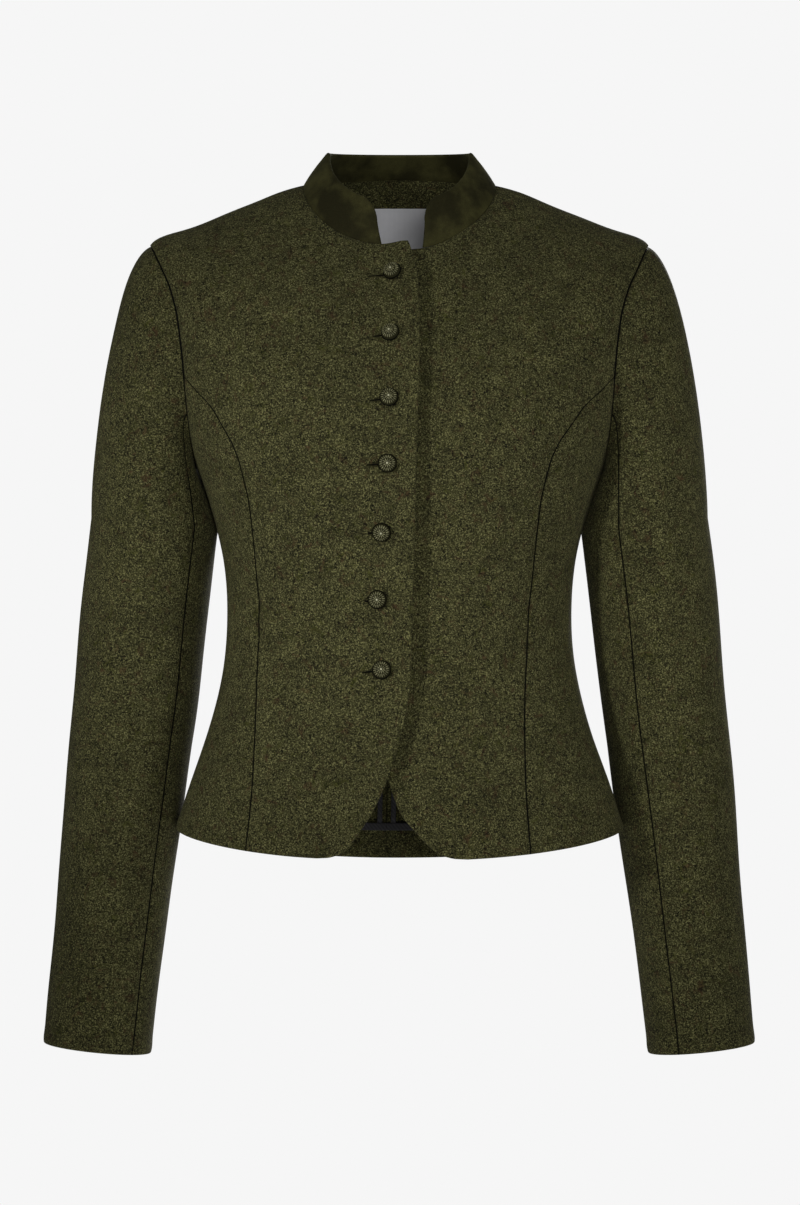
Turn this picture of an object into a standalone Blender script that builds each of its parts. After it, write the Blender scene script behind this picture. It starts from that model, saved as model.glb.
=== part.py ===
"""A fitted wool jacket with a velvet stand collar, in the hollow form that it has when worn.

The tables give sizes in millimetres; wall() turns them to metres. +Z is up and the front faces -Y.
The origin is at the base of the neck, midway between the shoulders, where the wearer holds it up.
Right and left are the wearer's, so the right half lies at -X.
"""
import math
from bisect import bisect_left
from functools import cache

import bmesh
import bpy
import numpy as np
from mathutils import Vector

MM = 0.001
SEAM_GAP = 0.3
BUTTON_GAP = 0.7
LAP_GAP = 1.0
LAYER_GAP = 0.6
CLOTH = 2.2
COLLAR_CLOTH = 3.0
THIN_CLOTH = 1.0
RIGHT, LEFT = -1, 1
CENTRE_FRONT, CENTRE_BACK = -90.0, 90.0

# One row for each ring round the body, from the hem to the neck seam. The height is measured up
# the cloth from the hem; "square" shapes the ring in plan and "ease" how it climbs to its side.
RINGS = np.array([
    # height, half_width, side_y, side_z, front_y, front_z, back_y, back_z, square, ease
    (0, 174.0, -12, -499, -108, -519, 112, -528, 2.25, 1.7),
    (37, 162.5, -9, -462, -104, -477, 106, -482, 2.25, 1.7),
    (69, 151.0, -6, -430, -100, -441, 99, -443, 2.2, 1.7),
    (100, 142.4, -4, -399, -96, -406, 92, -408, 2.2, 1.7),
    (131, 136.6, -3, -368, -93, -372, 87, -373, 2.15, 1.7),
    (170, 134.2, -3, -329, -93, -330, 85, -331, 2.15, 1.7),
    (209, 137.4, -3, -290, -98, -290, 88, -291, 2.2, 1.7),
    (240, 144.7, -3, -259, -105, -260, 92, -257, 2.3, 1.7),
    (262, 151.7, -2, -237, -109, -238, 95, -233, 2.4, 1.7),
    (283, 159.4, -1, -216, -111, -219, 97, -209, 2.5, 1.7),
    (329, 171.5, 0, -170, -110, -184, 99, -162, 2.65, 1.7),
    (379, 182.0, 1, -120, -104, -149, 98, -113, 2.75, 1.7),
    (419, 189.0, 2, -80, -97, -124, 94, -77, 2.7, 1.75),
    (454, 194.0, 3, -44, -89, -102, 87, -44, 2.55, 1.8),
    (480, 169.0, 3, -33, -84, -91, 84, -31, 2.75, 1.75),
    (505, 143.0, 4, -23, -79, -80, 80, -19, 2.8, 1.7),
    (530, 118.0, 4, -13, -74, -70, 76, -7, 2.55, 1.6),
    (555, 96.0, 3, -4, -68, -59, 70, 3, 2.35, 1.45),
    (580, 75.0, 2, 2, -62, -49, 64, 13, 2.2, 1.3),
], dtype=float)
NECK_HEIGHT = 580.0

# The bust's fullness, which the curved front seams give the fronts.
BUST_OUT, BUST_X, BUST_Z, BUST_REACH = 7.0, 84.0, -196.0, 52.0

# The curved front seams and the curved back seams.
FRONT_SEAMS = np.array([
    # level, half the distance between them
    (-512, 108.5), (-457, 104.5), (-398, 103), (-337, 104), (-296, 107), (-253, 111),
    (-217, 118.5), (-203, 124), (-189, 132.5), (-174, 143), (-161, 155), (-150, 165),
], dtype=float)
BACK_SEAMS = np.array([
    # level, half the distance between them
    (-525, 88), (-430, 75), (-335, 66), (-270, 70), (-215, 83), (-180, 98), (-155, 117),
    (-135, 140), (-118, 166),
], dtype=float)
# How far the middle of the worn jacket has drifted to its right, by level.
FRONT_DRIFT = np.array([(-520, -9), (-400, -7), (-300, -4), (-215, -3.5), (-150, 0)], dtype=float)
BACK_DRIFT = np.array([(-528, -11), (-300, -7), (-60, -1), (20, 0)], dtype=float)

# The free edges of the fronts: the lap of the right front and the left one under it.
FRONT_EDGES = np.array([
    # height, lap_x, under_x
    (0, -62, 52), (1, -52, 41), (4, -43.5, 31), (10, -37, 22), (17, -31, 14.5), (33, -19.5, 0),
    (56, -8, -9.5), (78, -0.5, -16), (97, 4.5, -21), (118, 8, -25), (177, 10.2, -27),
    (262, 12.3, -29), (307, 13.5, -30), (403, 15.3, -31.5), (452, 15.4, -31), (512, 14, -29),
    (566, 8.5, -24), (580, 6.5, -22),
], dtype=float)
# Where the left front comes out from under the lap, and the width over which it rises.
UNDERLAP_X, UNDERLAP_REACH = 18.0, 30.0

# The armhole, seen from the front.
ARMHOLE_X = np.array([
    # level, distance from the middle of the body
    (-230, 156.5), (-212, 159.5), (-189, 162.5), (-167, 164.3), (-139, 166.5), (-104, 171),
    (-84, 176), (-63, 185), (-45, 193.5), (-30, 200),
], dtype=float)

# Where a panel's rows lie: below the end of its curved seam, and from the armhole to the neck.
LOW_PARTS = (0, 0.004, 0.014, 0.034, 0.065, 0.12, 0.18, 0.24, 0.31, 0.39, 0.47, 0.55, 0.63,
             0.70, 0.77, 0.83, 0.885, 0.935, 0.97, 1)
YOKE_PARTS = (0.14, 0.32, 0.52, 0.74, 0.9, 1)
PANEL_COLUMNS = 8

# One row for each ring of the sleeve, from the cuff to the upper arm.
SLEEVES = np.array([
    # level, middle_x, middle_y, half_width, half_depth
    (-671, 235.8, 6, 41.5, 43), (-587, 227.8, 16, 43.3, 46), (-524, 221.0, 21, 44.9, 49),
    (-462, 214.2, 22, 47.0, 52), (-399, 207.2, 19, 48.4, 55), (-321, 200.0, 13, 48.3, 57),
    (-262, 193.0, 8, 47.7, 58),
], dtype=float)
SLEEVE_TILT = math.tan(math.radians(5.9))
ARM_LEVELS = (-262, -292, -330, -372, -420, -470, -525, -580, -628, -671)
CAP_STEPS = (0, 0.07, 0.18, 0.33, 0.52, 0.75, 1)
# How the cap's cloth leaves the armhole, at the shoulder and under the arm: its slant away from
# the body, in degrees, and its pull, like that of its far end, as a share of the way between.
CAP_SLANT = (46.0, 60.0)
CAP_PULL, CAP_END_PULL = (0.40, 0.32), 0.9

# Steps round half an armhole, and where the curved seams and the sleeve's seams meet it.
ARMHOLE_STEPS = 15
FRONT_JOIN, BACK_JOIN, SLEEVE_FRONT_JOIN = 8, 7, 10
SLEEVE_FRONT_TURN = {RIGHT: 134.0, LEFT: 119.0}
SLEEVE_BACK_TURN = 256.0

# The collar's upper edge, as a ring of the same columns as RINGS, and where its front ends lie at
# the foot and at the top, whose corners are rounded.
COLLAR_TOP = (0, 55.5, 2, 28.3, -58, -15, 47, 31, 2.25, 1.05)
COLLAR_ENDS_X = {RIGHT: (13.8, 18.7), LEFT: (18.3, 19.5)}
COLLAR_RISE, COLLAR_CORNER, COLLAR_BOW = 32.0, 8.0, 1.2
COLLAR_COLUMNS, COLLAR_ROWS = 44, (0.03, 0.25, 0.5, 0.75, 1)
# The share of the collar's columns that crowd towards its ends.
COLLAR_CROWDING = 0.35

# The seven buttons, where their middles lie on the lap.
BUTTONS = ((-4.7, -73), (-6.4, -120), (-7.9, -169), (-9.1, -218), (-13.5, -269.5),
           (-16.7, -321), (-13.3, -375))
BUTTON_RADIUS, BUTTON_DOME, BUTTON_RIM, SHANK_RADIUS, SHANK_RISE = 7.3, 4.6, 1.3, 1.9, 2.2
BUTTON_UNDERCUT, BUTTON_SIDES = 0.5, 18
# Degrees from the button's top at which its dome's profile has a point.
BUTTON_TURNS = (22, 42, 60, 76)

# What lies inside the back: the neck facing, the label, the hem's turn-up and the bindings.
FACING_DEPTH, FACING_END, FACING_ROWS, FACING_COLUMNS = 142.0, 9.0, 5, 18
LABEL_WIDTH, LABEL_DEPTH, LABEL_TOP, LABEL_X = 70.0, 45.0, -8.0, 1.0
LABEL_ROWS, LABEL_COLUMNS = 4, 8
TURN_UP, BINDING, ALLOWANCE = 23.0, 5.0, 7.5
TURN_UP_ROWS, ALLOWANCE_ROWS = 2, 16


def steady_tangents(_, slopes):
    """Slopes at a table's rows that never let the curve between them overshoot."""
    tangents = [slopes[0]]
    for before, after in zip(slopes, slopes[1:]):
        steepest = max(before, after, key=abs)
        flat = before * after <= 0
        tangents.append(0.0 if flat else 3 * before * after / (before + after + steepest))
    return tangents + [slopes[-1]]


def flowing_tangents(steps, slopes):
    """Slopes at a table's rows that give the smoothest curve, a natural cubic spline."""
    count = len(steps) + 1
    matrix, wanted = np.zeros((count, count)), np.zeros(count)
    matrix[0, :2], wanted[0] = (2, 1), 3 * slopes[0]
    matrix[-1, -2:], wanted[-1] = (1, 2), 3 * slopes[-1]
    for row in range(1, count - 1):
        before, after = steps[row - 1], steps[row]
        matrix[row, row - 1:row + 2] = after, 2 * (before + after), before
        wanted[row] = 3 * (after * slopes[row - 1] + before * slopes[row])
    return np.linalg.solve(matrix, wanted).tolist()


def curve(table, column=1, tangents_of=steady_tangents):
    """A table's column as a function of its first one."""
    places, values = table[:, 0].tolist(), table[:, column].tolist()
    steps = [after - before for before, after in zip(places, places[1:])]
    rises = [after - before for before, after in zip(values, values[1:])]
    tangents = tangents_of(steps, [rise / step for rise, step in zip(rises, steps)])

    def value(place):
        place = min(max(place, places[0]), places[-1])
        row = min(max(bisect_left(places, place) - 1, 0), len(steps) - 1)
        part = (place - places[row]) / steps[row]
        start, end = tangents[row] * steps[row], tangents[row + 1] * steps[row]
        return (values[row] + part * start
                + part ** 2 * (3 * rises[row] - 2 * start - end)
                + part ** 3 * (start + end - 2 * rises[row]))

    return value


ring_curves = [curve(RINGS, column, flowing_tangents) for column in range(RINGS.shape[1])]
sleeve_curves = [curve(SLEEVES, column, flowing_tangents) for column in range(SLEEVES.shape[1])]
front_seam_x, back_seam_x = curve(FRONT_SEAMS), curve(BACK_SEAMS)
front_drift, back_drift = curve(FRONT_DRIFT), curve(BACK_DRIFT)
lap_x, under_x = curve(FRONT_EDGES, 1), curve(FRONT_EDGES, 2)
armhole_x = curve(ARMHOLE_X)


def ring_point(ring, side, angle):
    """A point of a ring: angle runs from -90 at the centre front to 90 at the centre back."""
    _, half_width, side_y, side_z, front_y, front_z, back_y, back_z, square, ease = ring
    across, along = math.cos(math.radians(angle)), math.sin(math.radians(angle))
    reach = (abs(across) ** square + abs(along) ** square) ** (-1 / square)
    end_y, end_z = (front_y, front_z) if along < 0 else (back_y, back_z)
    part = min(abs(along) * reach, 1.0)
    return np.array((side * half_width * reach * across,
                     side_y + (end_y - side_y) * part,
                     side_z + (end_z - side_z) * part ** ease))


@cache
def body_ring(height):
    return [column(height) for column in ring_curves]


def body_point(side, angle, height):
    point = ring_point(body_ring(height), side, angle)
    if math.sin(math.radians(angle)) < 0:
        off = ((abs(point[0]) - BUST_X) ** 2 + (point[2] - BUST_Z) ** 2) / BUST_REACH ** 2
        point[1] -= BUST_OUT * math.exp(-off)
    return point


def body_normal(side, angle, height):
    turned = body_point(side, angle + 0.1, height) - body_point(side, angle - 0.1, height)
    low, high = max(height - 0.5, 0.0), min(height + 0.5, NECK_HEIGHT)
    raised = body_point(side, angle, high) - body_point(side, angle, low)
    normal = side * np.cross(turned, raised)
    return normal / np.linalg.norm(normal)


def crossing(wanted, low, high):
    """Where wanted(), negative at low and positive at high, passes through nought."""
    for _ in range(40):
        middle = (low + high) / 2
        if wanted(middle) < 0:
            low = middle
        else:
            high = middle
    return (low + high) / 2


def angle_of_line(side, height, end, line):
    """The angle at which the ring meets a line given as its distance across, by level."""
    def wanted(angle):
        x, _, z = body_point(side, angle, height)
        return side * x - line(z)
    return crossing(wanted, end * 1.25, 0.0)


def front_seam(side, height):
    def line(z):
        return front_seam_x(z) + side * front_drift(z)
    return angle_of_line(side, height, CENTRE_FRONT, line)


def back_seam(side, height):
    def line(z):
        return back_seam_x(z) + side * back_drift(z)
    return angle_of_line(side, height, CENTRE_BACK, line)


def centre_back(side, height, off=0.0):
    return angle_of_line(side, height, CENTRE_BACK,
                         lambda z: side * back_drift(z) + off)


def front_edge(side, height):
    x = lap_x(height) if side == RIGHT else under_x(height)
    return angle_of_line(side, height, CENTRE_FRONT, lambda z: side * x)


def armhole_angle(side, height, end):
    return angle_of_line(side, height, end, armhole_x)


def side_beyond_armhole(height):
    ring = body_ring(height)
    return ring[1] - armhole_x(ring[3])


ARMHOLE_LOW = crossing(side_beyond_armhole, 240.0, 330.0)
ARMHOLE_HIGH = crossing(lambda height: -side_beyond_armhole(height), 400.0, 470.0)


def armhole_height(step):
    """Heights round half an armhole, from step 0 at the shoulder, close together at its ends."""
    down = (1 - math.cos(math.pi * step / ARMHOLE_STEPS)) / 2
    return ARMHOLE_HIGH - (ARMHOLE_HIGH - ARMHOLE_LOW) * down


@cache
def armhole_place(side, step):
    """(angle, height) of a step round the whole armhole: front to the bottom, then the back."""
    step = step % (2 * ARMHOLE_STEPS)
    end = CENTRE_FRONT if step <= ARMHOLE_STEPS else CENTRE_BACK
    height = armhole_height(min(step, 2 * ARMHOLE_STEPS - step))
    if abs(step - ARMHOLE_STEPS) < 1e-6 or step < 1e-6:
        return 0.0, height
    return armhole_angle(side, height, end), height


def shifted(side, place, across):
    """A place on the body moved along its ring, by millimetres towards the back."""
    angle, height = place
    turned = body_point(side, angle + 0.5, height) - body_point(side, angle - 0.5, height)
    return angle + across / np.linalg.norm(turned), height


def material(name, colour, roughness):
    made = bpy.data.materials.new(name)
    made.use_nodes = True
    shader = made.node_tree.nodes["Principled BSDF"]
    shader.inputs["Base Color"].default_value = (*colour, 1)
    shader.inputs["Roughness"].default_value = roughness
    shader.inputs["Metallic"].default_value = 0
    made.diffuse_color = (*colour, 1)
    return made


def add_object(name, mesh, cloth):
    made = bpy.data.objects.new(name, mesh)
    mesh.materials.append(cloth)
    jacket.objects.link(made)
    return made


def wall(name, outer, inner, cloth):
    """A closed wall between two grids of points of the same size, given row by row."""
    build = bmesh.new()
    rows, columns = len(outer), len(outer[0])
    faces = []
    for grid in (outer, inner):
        faces.append([[build.verts.new(Vector(point) * MM) for point in row] for row in grid])
    out, back = faces
    for layer in faces:
        for row in range(rows - 1):
            for column in range(columns - 1):
                build.faces.new((layer[row][column], layer[row][column + 1],
                                 layer[row + 1][column + 1], layer[row + 1][column]))
    for row in (0, rows - 1):
        for column in range(columns - 1):
            build.faces.new((out[row][column], out[row][column + 1],
                             back[row][column + 1], back[row][column]))
    for column in (0, columns - 1):
        for row in range(rows - 1):
            build.faces.new((out[row][column], out[row + 1][column],
                             back[row + 1][column], back[row][column]))
    bmesh.ops.recalc_face_normals(build, faces=build.faces)
    mesh = bpy.data.meshes.new(name)
    build.to_mesh(mesh)
    build.free()
    mesh.shade_smooth()
    mesh.set_sharp_from_angle(angle=math.radians(40))
    return add_object(name, mesh, cloth)


def body_wall(name, side, places, cloth, sunk=0.0, thickness=CLOTH):
    """A wall that follows the body; sunk, a number or a function of x, moves it inwards."""
    outer, inner = [], []
    for row in places:
        outer.append([])
        inner.append([])
        for place in row:
            point, normal = body_point(side, *place), body_normal(side, *place)
            depth = sunk(point[0]) if callable(sunk) else sunk
            outer[-1].append(point - normal * depth)
            inner[-1].append(point - normal * (depth + thickness))
    return wall(name, outer, inner, cloth)


def between(start, end, count):
    return [start + (end - start) * step / count for step in range(count + 1)]


def panel_places(heights, start, end):
    """Rows of places from start(height) to end(height)."""
    rows = []
    for height in heights:
        angles = between(start(height), end(height), PANEL_COLUMNS)
        rows.append([(angle, height) for angle in angles])
    return rows


def panel_heights(join):
    """Heights of a front's or back's rows: below its curved seam's end, the armhole, the neck."""
    low = [part * armhole_height(join) for part in LOW_PARTS]
    armhole = [armhole_height(step) for step in range(join - 1, -1, -1)]
    yoke = [ARMHOLE_HIGH + part * (NECK_HEIGHT - ARMHOLE_HIGH) for part in YOKE_PARTS]
    return low + armhole + yoke


def outer_side(side, height, join, end, seam):
    """The angle of a panel's side edge: curved seam, armhole or shoulder seam."""
    inward = -math.copysign(SEAM_GAP / 2, -end)
    if height < armhole_height(join) - 1e-6:
        return shifted(side, (seam(side, height), height), inward)[0]
    if height < ARMHOLE_HIGH - 1e-6:
        return armhole_angle(side, height, end)
    return shifted(side, (0.0, height), inward)[0]


def under_the_lap(x):
    """How deep the left front lies under the lap, at a distance from the middle."""
    part = min(max((x - UNDERLAP_X) / UNDERLAP_REACH, 0.0), 1.0)
    return (CLOTH + LAP_GAP) * (1 - part * part * (3 - 2 * part))


def front(name, side, cloth):
    def edge(height):
        return front_edge(side, height)

    def outside(height):
        return outer_side(side, height, FRONT_JOIN, CENTRE_FRONT, front_seam)

    places = panel_places(panel_heights(FRONT_JOIN), edge, outside)
    body_wall(name, side, places, cloth, sunk=under_the_lap if side == LEFT else 0.0)


def back(name, side, cloth):
    def middle(height):
        return shifted(side, (centre_back(side, height), height), -SEAM_GAP / 2)[0]

    def outside(height):
        return outer_side(side, height, BACK_JOIN, CENTRE_BACK, back_seam)

    places = panel_places(panel_heights(BACK_JOIN), outside, middle)
    body_wall(name, side, places, cloth)


def side_panel(name, side, cloth):
    """The panel under the arm, from the curved front seam to the curved back seam."""
    top = [armhole_place(side, step)
           for step in range(FRONT_JOIN, 2 * ARMHOLE_STEPS - BACK_JOIN + 1)]
    columns = len(top) - 1
    places = []
    for part in LOW_PARTS:
        front_height, back_height = part * top[0][1], part * top[-1][1]
        if part < 1:
            start = shifted(side, (front_seam(side, front_height), front_height), SEAM_GAP / 2)[0]
            end = shifted(side, (back_seam(side, back_height), back_height), -SEAM_GAP / 2)[0]
        else:
            start = shifted(side, top[0], SEAM_GAP / 2)[0]
            end = shifted(side, top[-1], -SEAM_GAP / 2)[0]
        row = []
        for column, (top_angle, top_height) in enumerate(top):
            over = column / columns
            straight = (1 - over) * top[0][0] + over * top[-1][0]
            angle = (1 - over) * start + over * end + part * (top_angle - straight)
            row.append((angle, part * top_height))
        places.append(row)
    body_wall(name, side, places, cloth)


def arm_point(side, turn, level):
    """A point of the sleeve below its cap: turn is 0 outside, 90 in front and 180 inside."""
    _, middle_x, middle_y, half_width, half_depth = [column(level) for column in sleeve_curves]
    across = half_width * math.cos(math.radians(turn))
    return np.array((side * (middle_x + across),
                     middle_y - half_depth * math.sin(math.radians(turn)),
                     level + across * SLEEVE_TILT))


@cache
def armhole_frame(side, step):
    """The armhole's point, the body's normal there and the way out across its edge."""
    place = armhole_place(side, step)
    point, normal = body_point(side, *place), body_normal(side, *place)
    along = (body_point(side, *armhole_place(side, step + 0.3))
             - body_point(side, *armhole_place(side, step - 0.3)))
    outward = side * np.cross(normal, along)
    return point, normal, outward / np.linalg.norm(outward)


def cap_point(side, step, turn, part):
    """A point of the sleeve's cap, on a curve from the armhole down to the upper arm."""
    point, normal, outward = armhole_frame(side, step)
    start = point + outward * SEAM_GAP
    end = arm_point(side, turn, ARM_LEVELS[0])
    reach = np.linalg.norm(end - start)
    under = (1 - math.cos(math.radians(turn))) / 2
    slant = math.radians(CAP_SLANT[0] + (CAP_SLANT[1] - CAP_SLANT[0]) * under ** 2)
    pull = reach * (CAP_PULL[0] + (CAP_PULL[1] - CAP_PULL[0]) * under)
    leave = (outward * math.cos(slant) + normal * math.sin(slant)) * pull
    arrive = end - arm_point(side, turn, ARM_LEVELS[0] + 1)
    arrive = arrive / np.linalg.norm(arrive) * reach * CAP_END_PULL
    return (start * (1 + 2 * part) * (1 - part) ** 2 + leave * part * (1 - part) ** 2
            + end * part ** 2 * (3 - 2 * part) + arrive * part ** 2 * (part - 1))


def sleeve_point(side, step, turn, down):
    if down <= 1:
        return cap_point(side, step, turn, down)
    return arm_point(side, turn, ARM_LEVELS[0] + (down - 1) * (ARM_LEVELS[-1] - ARM_LEVELS[0]))


def sleeve_turn(side, step, down):
    """The turn of a sleeve's column, so that its seams run down to where they lie at the cuff."""
    full = 2 * ARMHOLE_STEPS
    joins = (0, SLEEVE_FRONT_JOIN, full - BACK_JOIN, full)
    at_armhole = [join * 360 / full for join in joins]
    at_cuff = [0, SLEEVE_FRONT_TURN[side], SLEEVE_BACK_TURN, 360]
    settle = min(down, 1.0)
    seams = [(1 - settle) * top + settle * low for top, low in zip(at_armhole, at_cuff)]
    return float(np.interp(step, joins, seams))


def sleeve(name, side, first, last, cloth):
    """One piece of a sleeve, from its armhole step first to its step last."""
    depth = ARM_LEVELS[-1] - ARM_LEVELS[0]
    downs = list(CAP_STEPS) + [1 + (level - ARM_LEVELS[0]) / depth for level in ARM_LEVELS[1:]]
    outer, inner = [], []

    def point_at(step, down):
        full = 2 * ARMHOLE_STEPS
        wrapped = (step + full) % full
        turn = sleeve_turn(side, wrapped, down)
        return sleeve_point(side, wrapped, turn, down)

    for down in downs:
        outer.append([])
        inner.append([])
        for step in range(first, last + 1):
            off = 0.0
            if step in (first, last):
                width = np.linalg.norm(point_at(step + 0.1, down) - point_at(step - 0.1, down))
                off = (SEAM_GAP / 2) * 0.2 / width * (1 if step == first else -1)
            here = step + off
            point = point_at(here, down)
            across = point_at(here + 0.05, down) - point_at(here - 0.05, down)
            low, high = max(down - 0.002, 0.0), min(down + 0.002, 2.0)
            along = point_at(here, high) - point_at(here, low)
            normal = side * np.cross(across, along)
            normal = normal / np.linalg.norm(normal)
            outer[-1].append(point)
            inner[-1].append(point - normal * CLOTH)
    return wall(name, outer, inner, cloth)


def collar(name, cloth):
    """The stand collar: a band from the neck seam up and inwards, open at the centre front."""
    neck = body_ring(NECK_HEIGHT)

    def end_turn(side, ring, wanted):
        def beyond(angle):
            return ring_point(ring, side, angle)[0] * side - wanted
        return side * (90 - crossing(beyond, -90.0, 0.0))

    ends = []
    for side in (RIGHT, LEFT):
        low_x, high_x = COLLAR_ENDS_X[side]
        ends.append((end_turn(side, neck, low_x), end_turn(side, COLLAR_TOP, high_x)))

    def point_at(over, part):
        """over runs from 0 at the right end to 1 at the left one, and part from foot to top."""
        start, end = [low + (high - low) * part for low, high in ends]
        turn = start + (end - start) * over
        side, angle = (RIGHT if turn < 0 else LEFT), 90 - abs(turn)
        low, high = ring_point(neck, side, angle), ring_point(COLLAR_TOP, side, angle)
        bow = np.array((low[0], low[1], 0.0)) / math.hypot(low[0], low[1])
        point = low + (high - low) * part + bow * COLLAR_BOW * 4 * part * (1 - part)
        if side == LEFT and angle < 0:
            sunk = under_the_lap(low[0]) * (1 - part) ** 2
            point = point - body_normal(side, angle, NECK_HEIGHT) * sunk
        return point

    outer, inner = [], []
    for rise in COLLAR_ROWS:
        outer.append([])
        inner.append([])
        for even in between(0.0, 1.0, COLLAR_COLUMNS):
            crowded = (1 - math.cos(math.pi * even)) / 2
            over = even + (crowded - even) * COLLAR_CROWDING
            from_end = min(np.linalg.norm(point_at(over, 1) - point_at(end_at, 1))
                           for end_at in (0.0, 1.0))
            in_corner = max(COLLAR_CORNER - from_end, 0.0)
            cut = COLLAR_CORNER - math.sqrt(COLLAR_CORNER ** 2 - in_corner ** 2)
            part = rise * (1 - cut / COLLAR_RISE)
            point = point_at(over, part)
            across = point_at(over + 0.001, part) - point_at(over - 0.001, part)
            along = point_at(over, part + 0.01) - point_at(over, part - 0.01)
            normal = np.cross(along, across)
            normal = normal / np.linalg.norm(normal)
            if np.dot(normal[:2], point[:2]) < 0:
                normal = -normal
            outer[-1].append(point)
            inner[-1].append(point - normal * COLLAR_CLOTH)
    return wall(name, outer, inner, cloth)


def place_on(side, x, z, angle, height):
    """The place on the body that lies at x and z, found from a first guess."""
    for _ in range(12):
        here = body_point(side, angle, height)
        by_angle = (body_point(side, angle + 0.1, height) - here) / 0.1
        by_height = (body_point(side, angle, height + 0.1) - here) / 0.1
        slopes = np.array(((by_angle[0], by_height[0]), (by_angle[2], by_height[2])))
        step = np.linalg.solve(slopes, np.array((x - here[0], z - here[2])))
        angle, height = angle + step[0], height + step[1]
    return angle, height


def neck_facing(name, cloth):
    """The facing inside the back of the neck, in one piece across the back."""
    outer, inner = [], []
    sunk = CLOTH + 2 * LAYER_GAP
    for part in between(0.0, 1.0, FACING_ROWS):
        outer.append([])
        inner.append([])
        for turn in between(FACING_END - 90, 90 - FACING_END, FACING_COLUMNS):
            side, angle = (RIGHT if turn < 0 else LEFT), 90 - abs(turn)
            depth = part * FACING_DEPTH * math.sqrt(math.sin(math.radians(angle)))
            place = (angle, NECK_HEIGHT - 1 - depth)
            point, normal = body_point(side, *place), body_normal(side, *place)
            outer[-1].append(point - normal * sunk)
            inner[-1].append(point - normal * (sunk + THIN_CLOTH))
    return wall(name, outer, inner, cloth)


def label(name, cloth):
    """A blank woven label on the neck facing."""
    outer, inner = [], []
    sunk = CLOTH + THIN_CLOTH + 3 * LAYER_GAP
    for z in between(LABEL_TOP, LABEL_TOP - LABEL_DEPTH, LABEL_ROWS):
        outer.append([])
        inner.append([])
        for x in between(LABEL_X - LABEL_WIDTH / 2, LABEL_X + LABEL_WIDTH / 2, LABEL_COLUMNS):
            place = place_on(LEFT, x, z, CENTRE_BACK - x / 2, NECK_HEIGHT - LABEL_DEPTH / 2)
            point, normal = body_point(LEFT, *place), body_normal(LEFT, *place)
            outer[-1].append(point - normal * sunk)
            inner[-1].append(point - normal * (sunk + THIN_CLOTH))
    return wall(name, outer, inner, cloth)


def hem_strip(name, side, low, high, sunk, cloth):
    """A strip inside the back's hem, from the centre back seam to the curved back seam."""
    def middle(height):
        return shifted(side, (centre_back(side, height), height), -SEAM_GAP / 2)[0]

    def outside(height):
        return shifted(side, (back_seam(side, height), height), SEAM_GAP / 2)[0]

    places = panel_places(between(low, high, TURN_UP_ROWS), outside, middle)
    body_wall(name, side, places, cloth, sunk=sunk, thickness=THIN_CLOTH)


def seam_strip(name, side, near, far, sunk, cloth):
    """A strip beside the centre back seam, inside, from the hem's turn-up to the neck facing."""
    heights = between(TURN_UP + BINDING, NECK_HEIGHT - FACING_DEPTH - BINDING, ALLOWANCE_ROWS)
    rows = []
    for height in heights:
        rows.append([(centre_back(side, height, off), height) for off in (near, far)])
    body_wall(name, side, rows, cloth, sunk=sunk, thickness=THIN_CLOTH)


def button(name, place, cloth):
    """A domed button: a turned profile on a shank, square to the lap."""
    profile = [(0, SHANK_RISE + BUTTON_RIM + BUTTON_DOME)]
    for turn in BUTTON_TURNS:
        profile.append((BUTTON_RADIUS * math.sin(math.radians(turn)),
                        SHANK_RISE + BUTTON_RIM + BUTTON_DOME * math.cos(math.radians(turn))))
    profile += [(BUTTON_RADIUS, SHANK_RISE + BUTTON_RIM),
                (BUTTON_RADIUS - BUTTON_UNDERCUT, SHANK_RISE),
                (SHANK_RADIUS, SHANK_RISE - BUTTON_UNDERCUT), (SHANK_RADIUS, 0), (0, 0)]
    mesh = bpy.data.meshes.new(name)
    points = [(radius * MM, 0, rise * MM) for radius, rise in profile]
    mesh.from_pydata(points, [(at, at + 1) for at in range(len(points) - 1)], [])
    made = add_object(name, mesh, cloth)
    turned = made.modifiers.new("Turned", "SCREW")
    turned.steps = turned.render_steps = BUTTON_SIDES
    turned.use_merge_vertices = True
    turned.merge_threshold = 0.00001
    angle, height = place_on(RIGHT, place[0], place[1], CENTRE_FRONT + 2, NECK_HEIGHT / 2)
    normal = body_normal(RIGHT, angle, height)
    made.location = Vector(body_point(RIGHT, angle, height) + normal * BUTTON_GAP) * MM
    made.rotation_euler = Vector(normal).to_track_quat("Z", "X").to_euler()
    return made


for old in list(bpy.data.objects):
    bpy.data.objects.remove(old)
jacket = bpy.data.collections.new("Jacket")
bpy.context.scene.collection.children.link(jacket)

wool = material("Heathered wool", (0.042, 0.041, 0.017), 0.95)
velvet = material("Cotton velvet", (0.009, 0.009, 0.004), 0.9)
satin = material("Label satin", (0.26, 0.26, 0.27), 0.45)
tape = material("Black binding tape", (0.008, 0.008, 0.009), 0.7)
thread = material("Button thread", (0.03, 0.031, 0.012), 0.6)

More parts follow.
